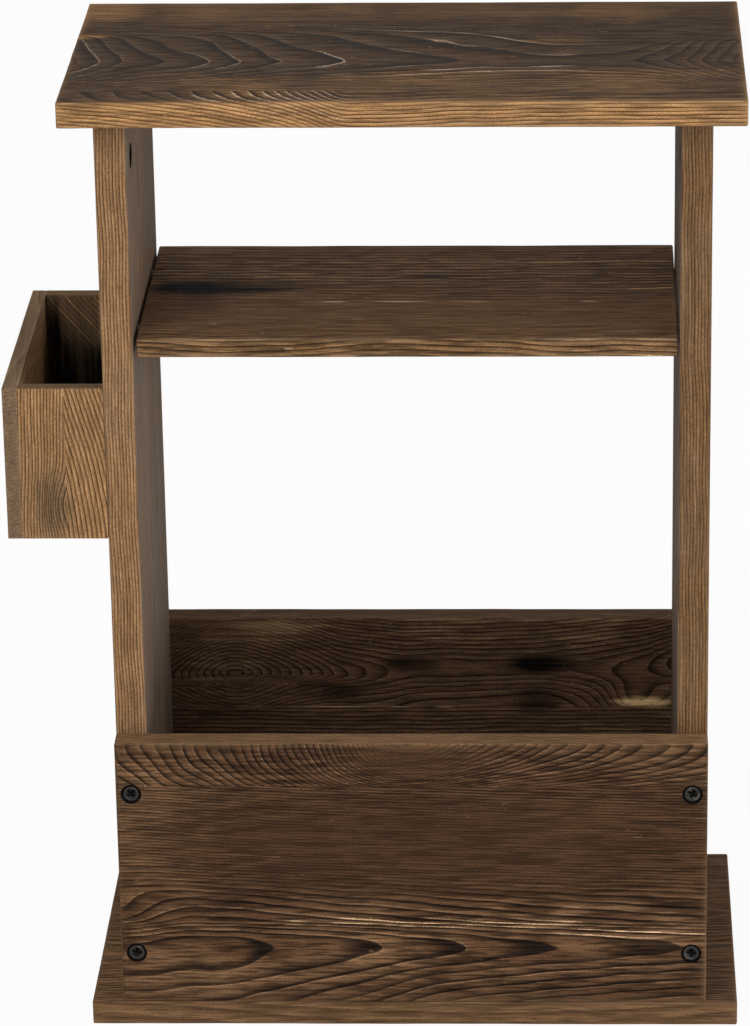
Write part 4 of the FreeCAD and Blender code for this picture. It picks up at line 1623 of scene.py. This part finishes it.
@dataclass
class MagazineRack:
    """The rack above the base: twin panels screwed on the uprights' front and back edges."""

    groups: Groups
    front_screws: Screws = Screws("rack_front_screws", 1, 1, (0.2, 0.75, 0.1, 0.5))
    back_screws: Screws = Screws("rack_back_screws", 1, -1, (0.6, 0.2, 0.9, 0.4))

    def build(self) -> None:
        """Builds both panels."""
        self.front().build(self.groups)
        self.back().build(self.groups)

    def front(self) -> Board:
        """Lays out the front panel: bowls in its top strip, long arches that point right below.

        Returns:
            The front panel, ready to build.
        """
        bowls = BowlGrowth(rim=99, middle=-3, climb=(9.0, 6.0), bend=(24, 30), sink=(0.25, 0.00013),
                           flare=(27, 70), through=0.25)
        course = Curve(((-205, 0.1), (-140, 0.3), (-110, 0.5), (-79, 1), (-21, 2), (29, 3), (88, 4), (173, 5),
                        (260, 5.8)), 7)
        flank = Curve(((-60, 40.0), (-39, 24.6), (-30, 17.9), (-20, 11.2), (-13, 5.6), (-6.8, 1.9),
                       (-3.5, 0.8), (0, 0), (3, 0.35), (5.5, 0.95), (7.6, 1.9), (10.5, 5.6), (14.5, 11.2),
                       (17, 16.8), (19, 22.4), (24.5, 28.0), (30, 33.6), (35.5, 39.2), (40, 44.8),
                       (43.5, 50.4), (49, 61.6), (130, 288.0)), 1.0)
        opening = (Curve(((-205, 0.6), (-79, 0.72), (-21, 1.0), (29, 1.25), (205, 1.35)), 30), EVEN)
        arches = PithGrowth(pith=-52.3, ring=5.6, course=course, flank=flank, opening=opening, power=1.0,
                            ripple=0.08,
                            swells=(Swell(-190, -28, 34, 20, 3.0), Swell(-195, 35, 70, 50, -3.0)))
        stains_light_and_shade = (StainLightAndShade(-160, 25, 50, 45, -0.3), StainLightAndShade(-160, 75, 60, 18, -0.3),
                  StainLightAndShade(-140, -72, 60, 18, -0.25), StainLightAndShade(20, 20, 170, 34, 0.15, -0.55),
                  StainLightAndShade(40, -50, 260, 38, -0.3, 0.4), StainLightAndShade(150, 75, 60, 18, -0.2),
                  StainLightAndShade(0, 75, 260, 16, 0.0, 0.35), StainLightAndShade(0, 80, 42, 14, 0.1, -0.8),
                  StainLightAndShade(0, 90, 40, 5, -0.3), StainLightAndShade(10, -34, 110, 3, -0.1, 0.3, 1.2),
                  StainLightAndShade(135, -41, 50, 3, -0.1, 0.3, 1.0), StainLightAndShade(0, -31, 20, 3, 0.9),
                  StainLightAndShade(76, -23, 17, 3.4, 1.1), StainLightAndShade(125, -30.5, 26, 3.2, 0.9), StainLightAndShade(168, -22, 20, 4, 1.1),
                  StainLightAndShade(105, -27, 70, 11, -0.3), StainLightAndShade(150, -53, 26, 4, 0.7), StainLightAndShade(75, -52.5, 14, 4, 0.6),
                  StainLightAndShade(18, -52, 10, 3, 0.5), StainLightAndShade(-34, -52, 12, 3, 0.5), StainLightAndShade(-98, -53, 26, 5, 0.5))
        return Board("rack_front_panel", "dark_board", Lay.FACING, UMBER,
                     (Strip(arches, 60.75), Strip(bowls)), spacing=1.7, bores=self.front_screws.bores(-1),
                     stains_light_and_shade=stains_light_and_shade)

    def back(self) -> Board:
        """Lays out the back panel: ovals at its left, knots and a swirl, with a glue line below them.

        Returns:
            The back panel, ready to build.
        """
        low = PithGrowth(pith=-160, ring=3.0, course=Curve(((-185, 9), (-40, 12), (185, 7)), 40))
        course = Curve(((-185, 10), (-166, 8), (-124, 0), (-55, 11), (-10, 13.35), (80, 13.6), (150, 11.5),
                        (185, 8)), 6)
        flank = Curve(((-400, 600), (-12, 40), (-5, 32), (0, 0), (10, 15), (400, 600)), 2)
        opening = (Curve(((-185, 1.0), (-75, 0.9), (-35, 0.3), (185, 0.3)), 15), EVEN)
        ovals = PithGrowth(pith=52, ring=4.4, fine=3.0, course=course, flank=flank, opening=opening,
                           power=1.4, lean=0.03, ripple=0.2,
                           swells=(Swell(142, 32, 24, 16, -5.0), Swell(-60, 40, 24, 10, -1.5)))
        stains_light_and_shade = (StainLightAndShade(82, 57, 29, 7.5, 0.9, -0.8), StainLightAndShade(-5, 57, 21, 6.5, 0.75, -0.8),
                  StainLightAndShade(-60, 38, 26, 7, 0.5), StainLightAndShade(-130, 22, 30, 6, 0.5), StainLightAndShade(80, 33, 20, 12, 0.4),
                  StainLightAndShade(-136, 41, 10, 1.5, 0.8), StainLightAndShade(146, 29.5, 19, 3.2, -1.1, -0.9),
                  StainLightAndShade(-130, 84, 60, 12, -0.16, -0.6), StainLightAndShade(40, 84, 160, 10, -0.1))
        rubbed = Strip(low, 26, ((-140, 34), (-58, 22), (-12, 9), (15, 6)))
        return Board("rack_back_panel", "dark_board", Lay.FACING, SHADED, (rubbed, Strip(ovals)),
                     bores=self.back_screws.bores(1), stains_light_and_shade=stains_light_and_shade)


@dataclass
class Caddy:
    """The small box on the left upright: three walls and a floor, darkened at the back and below as painted
    shade, with painted light on its back wall and its outer wall's inner face.

    A brad's bore has a flare, how much wider its mouth is and how far in, a depth, and a block that is
    half the square of grid cells that it takes up.
    """

    groups: Groups
    rounding: float = 0.5
    brad_flare: tuple[float, float] = (0.15, 0.1)
    brad_depth: float = 6.0
    brad_block: float = 2.0

    def build(self) -> None:
        """Builds the caddy's boards."""
        for board in (self.front(), self.back(), self.outer(), self.floor()):
            board.build(self.groups)

    def floor(self) -> Board:
        """Lays out the floor, darkened all over as painted shade inside the box.

        Returns:
            The floor, ready to build.
        """
        straight = PithGrowth(pith=-90, ring=2.2, course=Curve(((0, 16),)))
        # Its tone is painted shade inside the box.
        return Board("caddy_floor", "tan_board", Lay.TRAY, TAN, (Strip(straight),), spacing=2.0,
                     rounding=self.rounding, tone=1.0)

    def front(self) -> Board:
        """Lays out the front wall: upright wavy lines on its left, lines that lean on its right.

        Returns:
            The front wall, ready to build.
        """
        flat = Curve(((0, 6),))
        wavy = PithGrowth(pith=-120, ring=2.0, course=flat, lean=0.03, ripple=0.25,
                          swells=(Swell(-26, -4, 20, 9, 3.0),))
        leaning = PithGrowth(pith=-120, ring=2.8, course=flat, lean=-0.2, bow=-0.0012, ripple=0.1)
        return Board("caddy_front_panel", "tan_board", Lay.STAVE, TAN, (Strip(wavy, 2.0), Strip(leaning)),
                     spacing=1.5, rounding=self.rounding, stains_light_and_shade=(StainLightAndShade(-26, -7, 22, 11, 0.6),))

    def back(self) -> Board:
        """Lays out the back wall, of one strip.

        Returns:
            The back wall, ready to build.
        """
        grain = PithGrowth(pith=12, ring=3.4, course=Curve(((-50, 30), (50, 6)), 5), power=1.1)
        # A darker copy of the tan finish for the inner face, as painted shade inside the box; its bright
        # chalk colours the gleams, which are painted light.
        finish = replace(TAN, name="tan_inside_light_and_shade", face=0.95, face_figure=0.6, chalk=Tint(246, 190, 118))
        # The large dark patch low down and the one at the top left are painted shade; the pale patch at the
        # top right is painted light.
        stains_light_and_shade = (StainLightAndShade(-24, -8, 56, 44, 1.15, -0.5), StainLightAndShade(38, -24, 30, 8, 0.7),
                  StainLightAndShade(38, 18, 26, 14, -0.7, 0.6))
        return Board("caddy_back_panel", "tan_board", Lay.STAVE, finish, (Strip(grain),), spacing=2.0,
                     rounding=self.rounding, stains_light_and_shade=stains_light_and_shade,
                     gleams=(Gleam(16, 13, 52, 1.8), Gleam(13, 31, 54, 2.6)))

    def outer(self) -> Board:
        """Lays out the outer wall, with a small bore for each brad.

        Returns:
            The outer wall, ready to build.
        """
        grain = PithGrowth(pith=-70, ring=2.6, fine=2.4, course=Curve(((-90, 9), (20, 14), (90, 10.9)), 20))
        # A paler copy of the tan finish, left bare on the inner face: painted light on a face that stands in
        # shade inside the box.
        finish = replace(TAN, name="tan_outer", early=Tint(236, 204, 160), smoke=Tint(118, 96, 75), face=0.7,
                         edge=1.1, end=1.2, back=0.0)
        # Its patch darkens the inner face's back corner as painted shade.
        return Board("caddy_outer_panel", "tan_board", Lay.FLANK, finish, (Strip(grain),), spacing=2.5,
                     rounding=self.rounding, bores=self.brad_bores(),
                     stains_light_and_shade=(StainLightAndShade(88, -25, 40, 56, 1.2, back=True),))

    def brad_bores(self) -> tuple[Bore, ...]:
        """Makes a bore for each brad in the outer wall.

        Returns:
            Three bores near each upright edge and two along the floor.
        """
        low, high = corners("caddy_wall_pins")
        under, over = corners("caddy_floor_pins")
        radius = (over[2] - under[2]) / 2
        profile = ((radius + self.brad_flare[0], 0.0), (radius + CLEARANCE, self.brad_flare[1]),
                   (radius + CLEARANCE, self.brad_depth))
        heights = np.linspace(low[2] + radius, high[2] - radius, 3)
        depths = (low[1] + radius, high[1] - radius)
        walls = [(low[0], depth, height) for depth in depths for height in heights]
        floor = [(low[0], depth, (under[2] + over[2]) / 2) for depth in (under[1] + radius, over[1] - radius)]
        return tuple(Bore(0, -1, place, profile, self.brad_block) for place in walls + floor)


@dataclass
class Fittings:
    """The screws, cam locks, bolts, dowels and brads that hold the boards together."""

    groups: Groups
    screws: tuple[Screws, ...]
    cams: tuple[str, ...] = ("left_cam_locks", "right_cam_locks")
    bolts: tuple[str, ...] = ("left_cam_bolts", "right_cam_bolts")
    brads: tuple[str, ...] = ("caddy_wall_pins", "caddy_floor_pins")
    dowels: tuple[str, ...] = ("left_shelf_dowels", "right_shelf_dowels", "caddy_dowels")

    def build(self) -> None:
        """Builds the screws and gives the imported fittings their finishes."""
        black = BLACKENED.material(self.groups)
        for screws in self.screws:
            screws.build(black)
        self.dress(self.cams, CAM_BRONZE_AND_SHADE.material(self.groups))
        self.dress(self.bolts + self.brads, BRIGHT.material(self.groups))
        self.dress(self.dowels, BEECH.material(self.groups))

    def dress(self, nodes: tuple[str, ...], material: Material) -> None:
        """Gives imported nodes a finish.

        Args:
            nodes: the nodes' names.
            material: the finish.
        """
        for node in nodes:
            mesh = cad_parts[node].data
            mesh.materials.clear()
            mesh.materials.append(material)
            log.info("%s: dressed as %s", node, material.name)


@dataclass(frozen=True)
class Studio:
    """A pale floor, soft lamps and the camera, in metres.

    The floor is a little below the table. Its glow is the share of it that the camera sees as white.
    Each lamp has a name, a place, the length of its sides and its power in watts.
    """

    lens: float = 170.33
    film: float = 36.0
    shift: float = -0.06
    stand: tuple[float, float, float] = (0.10464, -2.86346, 1.43667)
    aim: tuple[float, float, float] = (1.19512, 0.01155, 0.02689)
    floor: float = 3.0
    drop: float = MM / 5
    pale: float = 0.94
    matt: float = 0.9
    glow: float = 0.93
    sky: float = 0.55
    lamps: tuple[tuple[str, tuple[float, float, float], float, float], ...] = (
        ("key_lamp", (-1.0, -2.2, 2.7), 1.8, 38.0), ("fill_lamp", (2.5, -1.3, 0.7), 1.4, 34.0))

    def build(self) -> None:
        """Builds the studio."""
        self.add_floor()
        self.add_sky()
        for lamp in self.lamps:
            self.add_lamp(*lamp)
        self.add_camera()

    def seen(self, canvas: Canvas) -> Socket:
        """Finds the rays that show the background: from the camera, glossy and through.

        Args:
            canvas: the nodes to work in.

        Returns:
            The socket of their mask.
        """
        path = canvas.add("ShaderNodeLightPath").outputs
        direct = canvas.plus(path["Is Camera Ray"], path["Is Glossy Ray"], clamp=True)
        return canvas.plus(direct, path["Is Transmission Ray"], clamp=True)

    def add_floor(self) -> None:
        """Adds a pale floor that the camera sees as nearly white, with the table's shadow on it."""
        mesh = bpy.data.meshes.new("studio_floor")
        signs = ((-1, -1), (1, -1), (1, 1), (-1, 1))
        points = [(self.floor * x, self.floor * y, -self.drop) for x, y in signs]
        mesh.from_pydata(points, [], [(0, 1, 2, 3)])
        floor = bpy.data.objects.new("studio_floor", mesh)
        bpy.context.scene.collection.objects.link(floor)
        canvas, shader, material = new_material("pale_floor")
        shader.inputs["Base Color"].default_value = (self.pale, self.pale, self.pale, 1.0)
        shader.inputs["Roughness"].default_value = self.matt
        glow = canvas.add("ShaderNodeEmission")
        both = canvas.add("ShaderNodeMixShader")
        canvas.feed(both.inputs[0], canvas.times(self.seen(canvas), self.glow))
        canvas.feed(both.inputs[1], shader.outputs[0])
        canvas.feed(both.inputs[2], glow.outputs[0])
        canvas.feed(material.node_tree.nodes["Material Output"].inputs["Surface"], both.outputs[0])
        mesh.materials.append(material)
        floor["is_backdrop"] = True

    def add_sky(self) -> None:
        """Adds even light from all round, which the camera sees as white."""
        world = bpy.data.worlds.new("studio_sky")
        world.use_nodes = True
        bpy.context.scene.world = world
        canvas = Canvas(world.node_tree)
        light = canvas.scale(self.seen(canvas), 1.0 - self.sky, self.sky)
        canvas.feed(world.node_tree.nodes["Background"].inputs["Strength"], light)
        world.node_tree.nodes["Background"].inputs["Color"].default_value = (1.0, 1.0, 1.0, 1.0)

    def add_lamp(self, name: str, place: tuple[float, float, float], size: float, power: float) -> None:
        """Adds a square soft lamp that looks at the middle of the table.

        Args:
            name: the lamp's name.
            place: where it hangs.
            size: the length of its sides.
            power: its power in watts.
        """
        light = bpy.data.lights.new(name, "AREA")
        light.size = size
        light.energy = power
        lamp = bpy.data.objects.new(name, light)
        low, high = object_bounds()
        aim = (low + high) / 2
        lamp.location = place
        lamp.rotation_euler = (aim - lamp.location).to_track_quat("-Z", "Y").to_euler()
        bpy.context.scene.collection.objects.link(lamp)

    def add_camera(self) -> None:
        """Adds the camera, aimed down and a little left, with a small shift sideways."""
        data = bpy.data.cameras.new("studio_camera")
        data.sensor_fit = "VERTICAL"
        data.sensor_height = self.film
        data.lens = self.lens
        data.shift_x = self.shift
        camera = bpy.data.objects.new("studio_camera", data)
        camera.location = self.stand
        camera.rotation_euler = self.aim
        bpy.context.scene.collection.objects.link(camera)
        bpy.context.scene.camera = camera
        bpy.context.scene.view_settings.view_transform = "Standard"


def main() -> None:
    """Builds the table, the rack, the caddy, the fittings and the studio."""
    logging.basicConfig(level=logging.INFO, format="%(message)s")
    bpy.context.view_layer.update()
    groups = Groups()
    table, rack, caddy = Table(groups), MagazineRack(groups), Caddy(groups)
    for assembly in (table, rack, caddy):
        assembly.build()
    Fittings(groups, (table.base_screws, rack.front_screws, rack.back_screws)).build()
    Studio().build()


if __name__ == "__main__":
    main()
